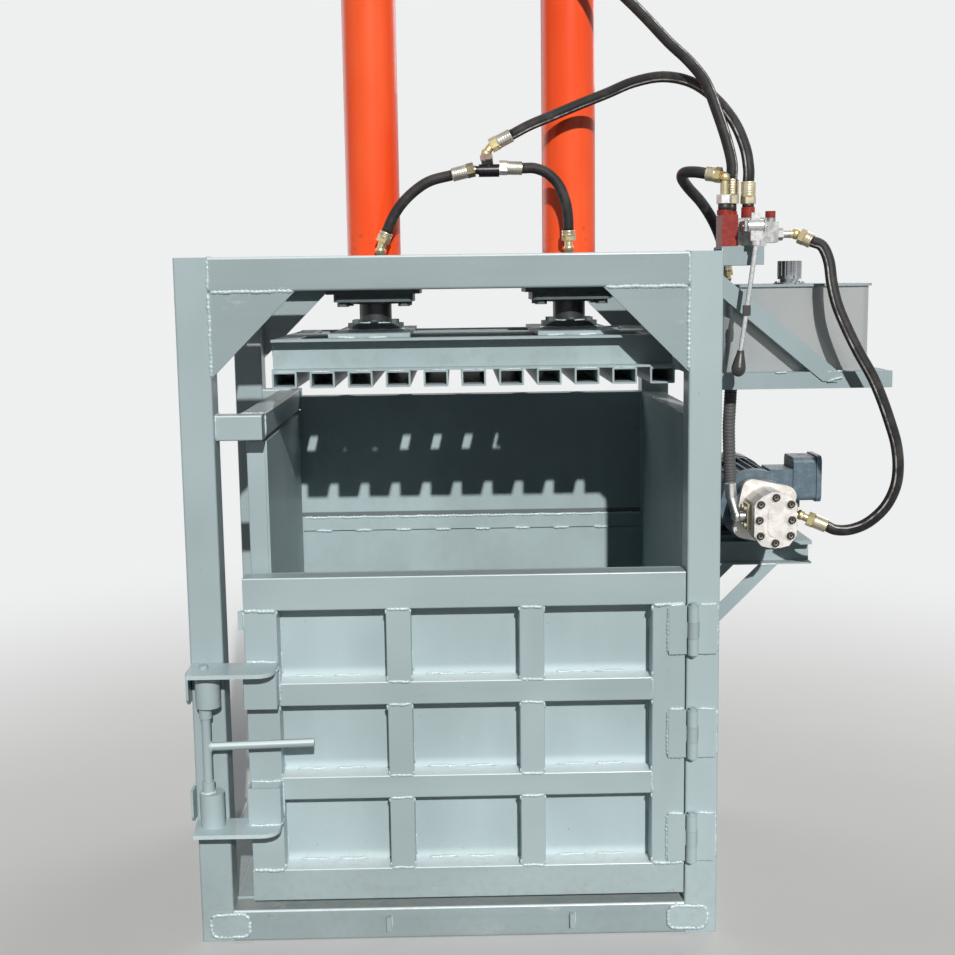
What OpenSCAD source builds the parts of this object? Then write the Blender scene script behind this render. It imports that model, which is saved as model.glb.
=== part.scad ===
// Twin cylinder vertical baler: a frame of square tube, a hinged front door, a hinged
// side door, a platen on two hydraulic cylinders and a power unit on shelves at the right.
// Millimetres. The origin is on the floor under the middle of the four posts. Front is -Y.

/* [Frame] */
// Width over the posts
frame_w = 1280; // [1200:10:1500]
// Depth over the posts
frame_d = 900; // [860:10:1100]
// Height over the top beams
frame_h = 1680; // [1660:10:1900]
// Side of the square tube of the posts, beams and sills
post_s = 80; // [76:1:90]
// Wall of the square tube
post_wall = 5; // [3:0.5:8]
// Outside corner radius of the square tube
post_r = 6; // [2:1:10]
// Leg of the triangular gussets under the top beams
gusset_leg = 200; // [120:5:240]
// Thickness of the gussets
gusset_t = 10; // [6:1:12]

/* [Chamber] */
// Distance of the top of the fixed walls below the top of the frame
wall_drop = 392; // [340:2:480]
// Thickness of the wall sheets
sheet_t = 5; // [3:0.5:6]
// Side of the square tube of the wall ribs
rib_s = 60; // [40:5:65]
// Wall of the rib tube
rib_wall = 4; // [3:0.5:6]
// Thickness of the floor plate
floor_t = 6; // [4:1:10]
// Distance of the left wall's inner face from the left posts
left_inset = 110; // [105:1:130]
// Distance of the back wall sheet in front of the rear posts
back_inset = 7; // [6:1:12]
// Thickness of the liner on the lower back wall
liner_t = 8; // [4:1:8]
// Height of the liner's top edge
liner_top = 926; // [800:2:1000]
// Distance of the seam in the liner below its top edge
liner_seam = 38; // [30:1:80]
// Root gap of the liner's seam
liner_gap = 3; // [2:0.5:4]

/* [Front door] */
// Height of the door's lower edge
door_z0 = 105; // [95:1:140]
// Height of the door's upper edge
door_z1 = 920; // [850:5:1000]
// Gap between the door's left edge and the left post
door_gap_left = 52; // [40:1:70]
// Gap between the door and the right post
door_gap_right = 3; // [2:0.5:6]
// Width of the outer stiles and rails
stile_w = 80; // [60:5:90]
// Width of the inner stiles
mullion_w = 60; // [40:5:70]
// Height of the inner rails
midrail_h = 57; // [40:1:70]
// Depth of the door frame
door_d = 60; // [50:5:65]
// Wall of the door's sections
door_wall = 4; // [3:0.5:6]
// Thickness of the door's sheet
skin_t = 5; // [3:0.5:6]

/* [Door hinges] */
// Height of one hinge
hinge_h = 120; // [90:6:150]
// Radius of the hinge barrel
hinge_r = 13; // [11:0.5:13]
// Radius of the hinge pin
hinge_pin_r = 7; // [5:0.5:8]
// Width of a hinge leaf on the face
leaf_w = 46; // [30:1:50]
// Thickness of a hinge leaf
leaf_t = 8; // [5:1:9]

/* [Latch] */
// Distance of the latch shaft in front of the post
shaft_out = 44; // [44:1:56]
// Distance of the latch shaft from the left post's outer face
shaft_in = 40; // [39:1:50]
// Radius of the latch shaft
shaft_r = 11; // [8:0.5:13]
// Radius of the eccentric barrels
cam_r = 29.5; // [22:0.5:29.5]
// Offset of a barrel's centre from the shaft
cam_e = 7.5; // [3:0.5:7.5]
// Length of a barrel
cam_h = 84; // [60:1:100]
// Thickness of the latch arms
arm_t = 10; // [8:1:12]
// Reach of the latch arms in front of the post
arm_d = 106; // [90:1:120]
// Top of the upper arm
arm_upper_z = 714; // [690:1:740]
// Top of the lower arm
arm_lower_z = 322; // [300:1:340]
// Height of the T-handle
t_handle_z = 520; // [480:5:560]
// Length of the T-handle
t_handle_l = 258; // [180:2:300]
// Radius of the T-handle
t_handle_r = 10; // [7:0.5:12]

/* [Side door] */
// Distance of the side door's top edge below the top of the walls
side_door_drop = 48; // [43:1:188]
// Depth of the side door's frame outside its sheet
side_door_d = 45; // [35:1:50]
// Gap at the side door's front edge
side_gap = 15; // [13:1:30]

/* [Platen] */
// Distance of the platen's underside below the top of the frame, as drawn at its upper end
platen_drop = 314; // [280:2:340]
// Width of one platen tube
ptube_w = 60; // [50:1:66]
// Height of one platen tube
ptube_h = 40; // [30:1:50]
// Wall of the platen tubes
ptube_wall = 4.5; // [3:0.5:6]
// Number of platen tubes
ptube_n = 11; // [9:2:11]
// Length of the platen tubes
platen_d = 700; // [660:5:700]
// Gap between the platen and the chamber's side walls
platen_gap = 16; // [12:1:20]
// Height of the platen's channels
channel_h = 78; // [60:2:90]
// Flange of the platen's channels
channel_b = 45; // [35:1:50]
// Web and flange thickness of the channels
channel_t = 6; // [5:0.5:8]
// Stroke of the platen
stroke = 950; // [850:10:950]

/* [Cylinders] */
// Distance between the two cylinders
cyl_pitch = 514; // [440:2:560]
// Outside radius of the cylinder barrel
barrel_r = 70; // [66:1:74]
// Bore radius of the cylinder
bore_r = 60; // [56:1:62]
// Radius of the piston rod
rod_r = 42.5; // [35:0.5:45]
// Running clearance of rods, pistons and pins
run_gap = 0.05; // [0.02:0.01:0.1]
// Thickness of the mounting flange
flange_t = 12; // [10:1:16]
// Side of the mounting flange
flange_w = 242; // [230:2:250]
// Length of the gland inside the barrel
gland_l = 80; // [60:5:90]
// Length of the piston
piston_l = 60; // [40:5:80]
// Thickness of the closed end of the barrel
cap_t = 26; // [20:1:40]

/* [Power unit] */
// Distance of the tank from the right posts
tank_off = 18; // [12:1:30]
// Width of the oil tank
tank_w = 362; // [300:2:400]
// Depth of the oil tank
tank_d = 590; // [500:5:600]
// Height of the oil tank
tank_h = 204; // [160:2:220]
// Corner radius of the tank
tank_r = 28; // [10:1:40]
// Distance of the tank's shelf below the top of the frame
shelf_drop = 290; // [260:2:330]
// Leg of the shelf's angle section
angle_l = 40; // [30:1:45]
// Thickness of the angle section
angle_t = 4; // [3:0.5:6]
// Distance of the motor's axis below the top of the walls
motor_drop = 260; // [230:2:290]
// Distance of the motor shaft from the right posts
motor_off = 149; // [140:1:170]
// Height of the motor shaft above its feet
motor_shaft_h = 100; // [95:1:112]
// Radius of the motor's body between its fins
motor_r = 84; // [76:1:88]
// Height of the fins of the motor
fin_h = 10; // [6:1:10]
// Number of fins
fin_n = 28; // [20:2:36]
// Length of the motor's finned body
motor_l = 220; // [180:5:240]
// Width of the pump
pump_w = 104; // [90:2:110]
// Height of the pump
pump_h = 138; // [120:2:140]

/* [Valve] */
// Height of the valve's foot above the top of the frame
valve_rise = 10; // [4:1:20]
// Height of the lever's pivot above the valve's foot
lever_rise = 45; // [35:1:55]
// Distance of the lever's pivot in front of the posts
lever_out = 5; // [3:1:10]
// Length of the lever's rod
lever_l = 300; // [250:5:310]

/* [Hoses] */
// Radius of the pressure hoses
hose_r = 13.5; // [10:0.5:14]
// Radius of the suction hose
suction_r = 16; // [12:0.5:17]

/* [Hidden] */
$fn = 48;
eps = 0.01;
weld = 0.2;

// Places that follow from the frame
post_x = frame_w / 2 - post_s / 2;
post_y = frame_d / 2 - post_s / 2;
in_x = frame_w / 2 - post_s;
in_y = frame_d / 2 - post_s;
front_y = -frame_d / 2;
out_x = frame_w / 2;
beam_z = frame_h - post_s;
wall_top = frame_h - wall_drop;
side_door_z1 = wall_top - side_door_drop;
platen_z = frame_h - platen_drop;
motor_z = wall_top - motor_drop;
shelf_z = frame_h - shelf_drop;
valve_z = frame_h + valve_rise;
lever_z = valve_z + lever_rise;

// Chamber
left_x = -in_x + left_inset;
back_y = in_y - back_inset;
floor_z = post_s + floor_t;
mid_x = (left_x + in_x) / 2;
rib_zs = [150, 400, wall_top - 626, wall_top - 392, wall_top - 208, wall_top - rib_s / 2];
brace_rib_z = rib_zs[2];
shelf_rib_z = rib_zs[3];
joist_xs = [-in_x / 2, 0, in_x / 2];

// Front door
door_x0 = -in_x + door_gap_left;
door_x1 = in_x - door_gap_right;
door_back = front_y + door_d;
bay_w = (door_x1 - door_x0 - 2 * stile_w - 2 * mullion_w) / 3;
bay_h = (door_z1 - door_z0 - 2 * stile_w - 2 * midrail_h) / 3;
mullion_xs = [door_x0 + stile_w + bay_w, door_x0 + stile_w + 2 * bay_w + mullion_w];
rail_zs = [door_z0 + stile_w + bay_h, door_z0 + stile_w + 2 * bay_h + midrail_h];
bay_zs = [for (i = [0 : 2]) door_z0 + stile_w + i * (bay_h + midrail_h)];
hinge_gap = 0.5;
hinge_x = in_x + hinge_r + 1;
hinge_y = front_y - hinge_r - hinge_gap;
hinge_zs = [252, 518, 778];
knuckle_h = hinge_h / 3;
knuckle_gap = 0.5;

// Latch
shaft_x = -out_x + shaft_in;
shaft_y = front_y - shaft_out;
arm_clear = 2;
keeper_t = 6;
keeper_reach = 38;
cam_angle = 20;
cam_low_z = arm_lower_z + run_gap;
cam_high_z = arm_upper_z - arm_t - 0.5 - cam_h;
collar_r = 15;
collar_h = 28;
block_d = 50;
block_h = 92;

// Side door
side_z0 = floor_z + 22;
side_front_y = -in_y + side_gap;
side_back_y = back_y - 27;
side_hinge_r = 12;
side_hinge_x = left_x - 70;
side_hinge_y = back_y - side_hinge_r - 1;
side_hinge_zs = [for (share = [0.125, 0.487, 0.859]) side_z0 + share * (side_door_z1 - side_z0)];
side_rib_zs = [for (share = [0.196, 0.399, 0.602, 0.801]) side_z0 + share * (side_door_z1 - side_z0)];

// Platen
platen_w = in_x - left_x - 2 * platen_gap - 2;
ptube_pitch = (platen_w - ptube_w) / (ptube_n - 1);
ptube_x0 = mid_x - platen_w / 2;
channel_z = platen_z + ptube_h;
pad_z = channel_z + channel_h;
pad_t = 10;
pad_w = 200;
rod_flange_r = 74;
rod_flange_t = 18;
cross_w = 80;

// Cylinders
cyl_xs = [mid_x + 3 - cyl_pitch / 2, mid_x + 3 + cyl_pitch / 2];
flange_z = beam_z - flange_t;
barrel_top = beam_z + gland_l + stroke + piston_l + 60;
piston_z = beam_z + gland_l + stroke + 25;
rod_z0 = pad_z + pad_t;
cyl_beam_y = barrel_r + 5 + post_s / 2;
port_z = beam_z + gland_l + 18;
top_port_z = barrel_top - 44;
port_xs = [cyl_xs[0] + 22, cyl_xs[1] - 8];
top_port_xs = [cyl_xs[0] - 7, cyl_xs[1] + 7];
hose_y = -barrel_r - 45;
tee_at = [(cyl_xs[0] + cyl_xs[1]) / 2 + 46, hose_y, beam_z + 295];
high_tee_at = [(cyl_xs[0] + cyl_xs[1]) / 2, hose_y, top_port_z - 146];
port_out = 22;

// Power unit
tank_x0 = out_x + tank_off;
tank_y0 = front_y + 110;
shelf_y = -in_y - 10;
shelf_x1 = tank_x0 + tank_w + 44;
bearer_l = 30;
bearer_w = 50;
motor_x = out_x + motor_off;
plate_t = 6;
plate_top = motor_z - motor_shaft_h;
low_channel_h = 56;
low_shelf_x1 = out_x + 304;
pump_y0 = front_y + 75;
cover_t = 32;
pump_body_l = 86;
pump_plate_t = 16;
bell_y0 = pump_y0 + cover_t + pump_body_l + pump_plate_t;
bell_l = 96;
motor_y0 = bell_y0 + bell_l;
low_shelf_y0 = motor_y0 + 15;
low_shelf_y1 = low_shelf_y0 + 320;
end_bell_l = 26;
cowl_y0 = motor_y0 + 2 * end_bell_l + motor_l;
cowl_l = 84;
rotor_r = 14;
fan_r = 78;
cap_x = out_x + 193;
cap_y = tank_y0 + 55;
cap_r = 26;

// Valve
valve_x0 = out_x;
lever_y = front_y - lever_out;
valve_y = front_y + 80;
lever_x = out_x + 70;
lever_lean = 6.5;
valve_half = 36;
valve_body_x = 108;
valve_end_x = 138;
valve_stub_l = 16;

// Hose routes, drawn at the sizes above and carried to where their ends are
function carried(p, a, b) =
    let (n = len(p) - 1)
    [for (i = [0 : n]) p[i] + (a - p[0]) * (1 - i / n) + (b - p[n]) * i / n];
route_left = carried([[-160, -106, 1745], [-142, -108, 1783], [-117, -110, 1818], [-82, -112, 1850],
    [-44, -114, 1872], [10, -115, 1885]],
    [port_xs[0] + 17, hose_y + 9, port_z + 47], tee_at + [-94, 0, -10]);
route_right = carried([[188, -115, 1900], [222, -114, 1899], [256, -113, 1884], [283, -111, 1854],
    [299, -109, 1814], [305, -107, 1778], [306, -105, 1744]],
    tee_at + [84, 0, 5], [port_xs[1] - 1, hose_y + 10, port_z + 46]);
route_long = carried([[161, -117, 1982], [205, -121, 2004], [259, -128, 2025], [330, -139, 2052],
    [400, -153, 2077], [463, -175, 2100], [531, -205, 2108], [594, -240, 2090], [645, -282, 2046],
    [684, -325, 1985], [705, -355, 1922], [711, -370, 1872], [711, -370, 1842]],
    tee_at + [57, -2, 87], [out_x + 71, valve_y, valve_z + 152]);
route_high = carried([[676, -346, 1850], [676, -346, 1888], [664, -338, 1942], [645, -325, 2005],
    [620, -300, 2080], [585, -270, 2134], [540, -240, 2184], [492, -215, 2242], [440, -190, 2300],
    [384, -168, 2354], [326, -148, 2400], [262, -132, 2438], [195, -122, 2463], [132, -117, 2480]],
    [out_x + 36, valve_y + 24, valve_z + 160], high_tee_at + [74, -2, -80]);
route_cap_left = carried([[-26, -115, 2556], [-66, -114, 2552], [-106, -113, 2556],
    [-146, -111, 2570], [-177, -108, 2598], [-192, -106, 2634]],
    high_tee_at + [-84, 0, -4], [top_port_xs[0] + 14, hose_y + 9, top_port_z - 72]);
route_cap_right = carried([[142, -115, 2556], [182, -114, 2552], [222, -113, 2556],
    [262, -111, 2570], [293, -108, 2598], [308, -106, 2634]],
    high_tee_at + [84, 0, -4], [top_port_xs[1] - 14, hose_y + 9, top_port_z - 72]);
route_return = carried([[612, -366, 1862], [584, -352, 1867], [566, -322, 1867], [568, -284, 1857],
    [592, -240, 1836], [630, -208, 1802], [664, -186, 1756], [688, -172, 1704], [696, -168, 1656]],
    [out_x - 28, valve_y + 4, valve_z + 172], [out_x + 56, tank_y0 + 172, shelf_z + tank_h + 62]);
route_pressure = carried([[861, -383, 1700], [884, -392, 1688], [897, -405, 1652],
    [901, -420, 1602], [911, -434, 1550], [932, -444, 1496], [960, -450, 1439], [993, -452, 1382],
    [1018, -450, 1328], [1040, -446, 1272], [1058, -440, 1220], [1068, -430, 1165],
    [1068, -414, 1112], [1052, -392, 1060], [1020, -366, 1018], [985, -341, 996], [952, -324, 992],
    [930, -318, 1001]],
    [out_x + 221, valve_y - 13, valve_z + 10], [motor_x + 141, pump_y0 + 57, motor_z - 27]);
route_suction = carried([[692, -290, 1350], [690, -290, 1305], [688, -290, 1255],
    [689, -290, 1205], [691, -290, 1155], [693, -291, 1112]],
    [tank_x0 + 34, pump_y0 + 85, shelf_z - 40], [motor_x - 96, pump_y0 + 84, motor_z + 84]);
pressure_routes = [route_left, route_right, route_long, route_high, route_cap_left,
    route_cap_right, route_return, route_pressure];

// Colours
paint = [0.56, 0.63, 0.65];
orange = [0.86, 0.24, 0.10];
steel = [0.72, 0.73, 0.74];
rubber = [0.10, 0.10, 0.11];
brass = [0.74, 0.62, 0.32];
alloy = [0.78, 0.74, 0.70];

// Box between two opposite corners
module slab(low, high) {
    translate(low) cube(high - low);
}

// Cylinders by their centre line and ends
module cyl_z(x, y, z0, z1, r) {
    translate([x, y, z0]) cylinder(h = z1 - z0, r = r);
}
module cyl_y(x, z, y0, y1, r) {
    translate([x, y0, z]) rotate([-90, 0, 0]) cylinder(h = y1 - y0, r = r);
}
module cyl_x(y, z, x0, x1, r) {
    translate([x0, y, z]) rotate([0, 90, 0]) cylinder(h = x1 - x0, r = r);
}

// Round bar from one point to another
module bar(a, b, r, sides = 0) {
    d = b - a;
    len = norm(d);
    translate(a)
        rotate([0, acos(d.z / len), atan2(d.y, d.x)])
            cylinder(h = len, r = r, $fn = sides > 0 ? sides : $fn);
}

// Rectangle with round corners, centred
module round_rect(w, h, r) {
    square([w - 2 * r, h], center = true);
    square([w, h - 2 * r], center = true);
    for (x = [-1, 1], y = [-1, 1])
        translate([x * (w / 2 - r), y * (h / 2 - r)]) circle(r);
}

// Rectangular tube, drawn along Z from the origin
module tube(w, h, len, wall, r) {
    difference() {
        linear_extrude(len) round_rect(w, h, r);
        translate([0, 0, -1]) linear_extrude(len + 2)
            square([w - 2 * wall, h - 2 * wall], center = true);
    }
}

// The same tube with its far end closed by a plate as thick as its wall
module capped_tube(w, h, len, wall, r) {
    difference() {
        linear_extrude(len) round_rect(w, h, r);
        translate([0, 0, -1]) linear_extrude(len - wall + 1)
            square([w - 2 * wall, h - 2 * wall], center = true);
    }
}

// Open tubes along X, Y or Z from a point on the centre line
module tube_x(at, len, w, h, wall, r) {
    translate(at) rotate([90, 0, 90]) tube(w, h, len, wall, r);
}
module tube_y(at, len, w, h, wall, r) {
    translate(at) rotate([90, 0, 180]) tube(w, h, len, wall, r);
}
module tube_z(at, len, w, h, wall, r) {
    translate(at) tube(w, h, len, wall, r);
}

// Channel section along X, its web at y = 0 and its flanges towards -Y
module channel_x(x0, x1, h, b, t) {
    slab([x0, -t, 0], [x1, 0, h]);
    slab([x0, -b, 0], [x1, -t + eps, t]);
    slab([x0, -b, h - t], [x1, -t + eps, h]);
}

// Hexagon along Z
module hex(x, y, z0, z1, across) {
    translate([x, y, z0]) cylinder(h = z1 - z0, r = across / 2 / cos(30), $fn = 6);
}

// Frame
module posts() {
    color(paint) for (x = [-post_x, post_x], y = [-post_y, post_y])
        difference() {
            translate([x, y, 0]) linear_extrude(frame_h) round_rect(post_s, post_s, post_r);
            translate([x, y, -1]) linear_extrude(frame_h - post_wall + 1)
                square(post_s - 2 * post_wall, center = true);
        }
}

module top_beams() {
    z = frame_h - post_s / 2;
    color(paint) {
        for (y = [-post_y, post_y])
            tube_x([-in_x, y, z], 2 * in_x, post_s, post_s, post_wall, post_r);
        for (x = [-post_x, post_x])
            tube_y([x, -in_y, z], 2 * in_y, post_s, post_s, post_wall, post_r);
    }
}
module cylinder_beams() {
    color(paint) for (y = [-cyl_beam_y, cyl_beam_y])
        tube_x([-in_x, y, frame_h - post_s / 2], 2 * in_x, post_s, post_s, post_wall, post_r);
}
module gussets() {
    color(paint) for (side = [-1, 1], y = [front_y + 1, -front_y - gusset_t - 1])
        translate([side * in_x, y + gusset_t, beam_z]) rotate([90, 0, 0])
            linear_extrude(gusset_t)
                polygon([[0, 0], [-side * gusset_leg, 0], [-side * (gusset_leg - 12), -12],
                    [0, -gusset_leg]]);
}
module sills() {
    z = post_s / 2;
    color(paint) {
        for (y = [-post_y, post_y])
            tube_x([-in_x, y, z], 2 * in_x, post_s, post_s, post_wall, post_r);
        for (x = [-post_x, post_x])
            tube_y([x, -in_y, z], 2 * in_y, post_s, post_s, post_wall, post_r);
    }
}
module floor_joists() {
    color(paint) for (x = joist_xs)
        tube_y([x, -in_y, post_s / 2], 2 * in_y, post_s, post_s, post_wall, post_r);
}
module floor_plate() {
    bar_h = 14;
    bar_w = 40;
    margin = 12;
    color(paint) {
        slab([-in_x, -in_y - margin, post_s], [in_x, in_y + margin, floor_z]);
        for (i = [0 : ptube_n - 2])
            translate([ptube_x0 + ptube_w / 2 + (i + 0.5) * ptube_pitch, 0, 0])
                slab([-bar_w / 2, -in_y + 30, floor_z + weld],
                    [bar_w / 2, back_y - liner_t - 10, floor_z + bar_h]);
    }
}

// Plates welded over the sill's corners and two small lugs on the sill
module sill_patches() {
    patch_t = 5;
    lug_t = 16;
    color(paint) {
        for (side = [-1, 1])
            translate([side * (in_x + 8), front_y, post_s / 2 + 2]) rotate([90, 0, 0])
                linear_extrude(patch_t) round_rect(96, 58, 16);
        for (x = [-0.3125 * in_x, 0.5 * in_x])
            slab([x - 6, front_y - lug_t, 25], [x + 6, front_y, 62]);
    }
}

// Tube across the left side above the side door, on two stubs from the posts
module left_upper_rail() {
    z = side_door_z1 + 10 + rib_s / 2;
    x = left_x - rib_s / 2;
    color(paint) {
        tube_y([x, weld - in_y, z], 2 * (in_y - weld), rib_s, rib_s, rib_wall, 4);
        for (y = [-in_y - rib_s / 2, in_y + rib_s / 2])
            translate([-in_x, y, z]) rotate([90, 0, 90])
                capped_tube(rib_s, rib_s, left_x + in_x, rib_wall, 4);
    }
}

// Chamber walls
module back_wall() {
    color(paint) difference() {
        slab([-in_x, back_y, floor_z], [in_x, back_y + sheet_t, wall_top]);
        slab([-in_x - 1, back_y - 1, side_door_z1 + 8], [left_x + 1, in_y, wall_top + 1]);
    }
}
// Two plates with an open seam between them.
module back_liner() {
    seam = liner_top - liner_seam;
    color(paint) for (h = [[floor_z, seam - liner_gap], [seam, liner_top]])
        slab([left_x, back_y - liner_t, h[0]], [in_x, back_y, h[1]]);
}
module back_ribs() {
    y = back_y + sheet_t + rib_s / 2;
    color(paint) for (z = rib_zs) {
        x0 = z > side_door_z1 - rib_s ? left_x : -in_x;
        tube_x([x0, y, z], in_x - x0, rib_s, rib_s, rib_wall, 4);
    }
}
module right_wall() {
    color(paint) slab([in_x, -in_y, floor_z], [in_x + sheet_t, back_y, wall_top]);
}
module right_ribs() {
    x = in_x + sheet_t + rib_s / 2;
    color(paint) for (z = rib_zs)
        tube_y([x, -in_y, z], 2 * in_y, rib_s, rib_s, rib_wall, 4);
}

// Side door, on the left, hinged at its rear edge
module side_door_sheet() {
    color(paint)
        slab([left_x - sheet_t, side_front_y, side_z0], [left_x, side_back_y, side_door_z1]);
}
module side_door_frame() {
    x1 = left_x - sheet_t;
    x = x1 - side_door_d / 2;
    w = 40;
    h = side_door_z1 - side_z0;
    mid_l = side_back_y - side_front_y - 2 * w;
    color(paint) {
        for (y = [side_front_y + w / 2, side_back_y - w / 2])
            tube_z([x, y, side_z0], h, side_door_d, w, rib_wall, 3);
        for (z = concat([side_z0 + w / 2, side_door_z1 - w / 2], side_rib_zs))
            tube_y([x, side_front_y + w + weld, z], mid_l - 2 * weld, side_door_d, w, rib_wall, 3);
    }
}
module side_hinge_fixed() {
    r = side_hinge_r;
    color(paint) for (z = side_hinge_zs) {
        difference() {
            union() {
                for (s = [-1, 1])
                    cyl_z(side_hinge_x, side_hinge_y, z + s * knuckle_h - knuckle_h / 2,
                        z + s * knuckle_h + knuckle_h / 2, r);
                for (s = [-1, 1])
                    slab([-in_x, back_y - leaf_t, z + s * knuckle_h - knuckle_h / 2],
                        [side_hinge_x, back_y, z + s * knuckle_h + knuckle_h / 2]);
                slab([-in_x, back_y - leaf_t, z - hinge_h / 2],
                    [side_hinge_x - r - 2, back_y, z + hinge_h / 2]);
            }
            cyl_z(side_hinge_x, side_hinge_y, z - hinge_h, z + hinge_h, hinge_pin_r - 1);
        }
        cyl_z(side_hinge_x, side_hinge_y, z - hinge_h / 2 - 4, z + hinge_h / 2 + 4,
            hinge_pin_r - 1 - run_gap);
    }
}
module side_hinge_moving() {
    r = side_hinge_r;
    half = knuckle_h / 2 - knuckle_gap;
    color(paint) for (z = side_hinge_zs)
        difference() {
            union() {
                cyl_z(side_hinge_x, side_hinge_y, z - half, z + half, r);
                slab([side_hinge_x, side_back_y, z - half],
                    [left_x - sheet_t, side_back_y + leaf_t, z + half]);
            }
            cyl_z(side_hinge_x, side_hinge_y, z - hinge_h, z + hinge_h, hinge_pin_r - 1);
        }
}

// Front door
module door_stiles() {
    y = front_y + door_d / 2;
    color(paint) for (x = [door_x0 + stile_w / 2, door_x1 - stile_w / 2])
        tube_z([x, y, door_z0 + stile_w], door_z1 - door_z0 - 2 * stile_w, stile_w, door_d,
            door_wall, 3);
}
module door_rails() {
    y = front_y + door_d / 2;
    len = door_x1 - door_x0 - 2 * stile_w;
    x0 = door_x0 + stile_w;
    color(paint) {
        for (z = [door_z0 + stile_w / 2, door_z1 - stile_w / 2])
            translate([door_x1, y, z]) rotate([90, 0, -90])
                capped_tube(door_d, stile_w, door_x1 - door_x0, door_wall, 3);
        for (z = rail_zs)
            tube_x([x0, y, z + midrail_h / 2], len, door_d, midrail_h, door_wall, 3);
    }
}
module door_mullions() {
    y = front_y + door_d / 2;
    color(paint) for (x = mullion_xs, z = bay_zs)
        tube_z([x + mullion_w / 2, y, z], bay_h, mullion_w, door_d, door_wall, 3);
}
module door_sheet() {
    tab = [14, 8, 46];
    color(paint) {
        slab([door_x0, door_back, door_z0], [door_x1, door_back + skin_t, door_z1]);
        translate([door_x0 - tab.x, front_y + 2, door_z1 - stile_w - 1 - tab.z]) cube(tab);
    }
}

// Hinges of the front door
module knuckle(z0, z1) {
    difference() {
        cyl_z(hinge_x, hinge_y, z0, z1, hinge_r);
        cyl_z(hinge_x, hinge_y, z0 - 1, z1 + 1, hinge_pin_r + run_gap);
    }
}
module post_hinge_leaves() {
    color(paint) for (z = hinge_zs) {
        for (s = [-1, 1])
            knuckle(z + s * knuckle_h - knuckle_h / 2, z + s * knuckle_h + knuckle_h / 2);
        slab([hinge_x + hinge_r - 1, front_y - leaf_t, z - hinge_h / 2],
            [hinge_x + hinge_r + leaf_w, front_y, z - knuckle_h / 2]);
        slab([hinge_x + hinge_r - 1, front_y - leaf_t, z + knuckle_h / 2],
            [hinge_x + hinge_r + leaf_w, front_y, z + hinge_h / 2]);
        slab([hinge_x + hinge_r + 2, front_y - leaf_t, z - hinge_h / 2],
            [hinge_x + hinge_r + leaf_w, front_y, z + hinge_h / 2]);
    }
}
module door_hinge_leaves() {
    y1 = front_y - hinge_gap;
    half = knuckle_h / 2 - knuckle_gap;
    color(paint) for (z = hinge_zs) {
        knuckle(z - half, z + half);
        slab([door_x1 - leaf_w + 5, y1 - leaf_t, z - half],
            [hinge_x - hinge_r + 1, y1, z + half]);
        slab([door_x1 - leaf_w + 5, y1 - leaf_t, z - hinge_h / 2],
            [hinge_x - hinge_r - 2, y1, z + hinge_h / 2]);
    }
}
module hinge_pins() {
    color(steel) for (z = hinge_zs) {
        cyl_z(hinge_x, hinge_y, z - hinge_h / 2 - 5, z + hinge_h / 2 + 5, hinge_pin_r);
        cyl_z(hinge_x, hinge_y, z + hinge_h / 2, z + hinge_h / 2 + 7, hinge_pin_r + 2);
    }
}

// Latch: keepers on the post, arms and blocks on the door, a shaft with two barrels
module latch_keepers() {
    color(paint) for (z = [cam_low_z + 4, cam_high_z])
        translate([-out_x, 0, z]) rotate([0, -90, 0]) linear_extrude(keeper_t)
            polygon([[0, front_y + 45], [cam_h - 4, front_y + 45], [cam_h - 4, front_y - keeper_reach],
                [14, front_y - keeper_reach], [0, front_y - keeper_reach + 14]]);
}
module arm_outline() {
    y0 = front_y - arm_clear;
    y1 = front_y - arm_d;
    x1 = door_x0 + stile_w;
    r = 40;
    polygon(concat([[-out_x + 2, y0], [-out_x + 10, y1], [x1 - r, y1]],
        [for (a = [-75 : 15 : 0]) [x1 - r + r * cos(a), y1 + r + r * sin(a)]],
        [[x1, front_y], [door_x0 + 1, front_y], [door_x0 + 1, y0]]));
}
module latch_arms() {
    color(paint) for (z = [arm_lower_z - arm_t, arm_upper_z - arm_t])
        difference() {
            translate([0, 0, z]) linear_extrude(arm_t) arm_outline();
            cyl_z(shaft_x, shaft_y, z - 1, z + arm_t + 1, shaft_r + run_gap);
        }
}
module latch_blocks() {
    x = door_x0 + stile_w / 2 + 1;
    y = front_y - block_d / 2;
    color(paint) for (z = [arm_lower_z, arm_upper_z - arm_t - block_h])
        tube_z([x, y, z], block_h, stile_w, block_d, 5, 3);
}
module latch_shaft() {
    a = [shaft_x, shaft_y, t_handle_z];
    color(paint) {
        cyl_z(shaft_x, shaft_y, arm_lower_z - arm_t - 8, arm_upper_z + 8, shaft_r);
        cyl_z(shaft_x, shaft_y, cam_low_z + cam_h, cam_low_z + cam_h + collar_h, collar_r);
        cyl_z(shaft_x, shaft_y, cam_high_z - collar_h, cam_high_z, collar_r);
        bar(a, a + [t_handle_l, 0, 6], t_handle_r);
    }
}
module latch_barrels() {
    color(paint) for (z = [cam_low_z, cam_high_z])
        difference() {
            cyl_z(shaft_x + cam_e * cos(cam_angle), shaft_y + cam_e * sin(cam_angle),
                z, z + cam_h, cam_r);
            cyl_z(shaft_x, shaft_y, z - 1, z + cam_h + 1, shaft_r);
        }
}

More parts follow.
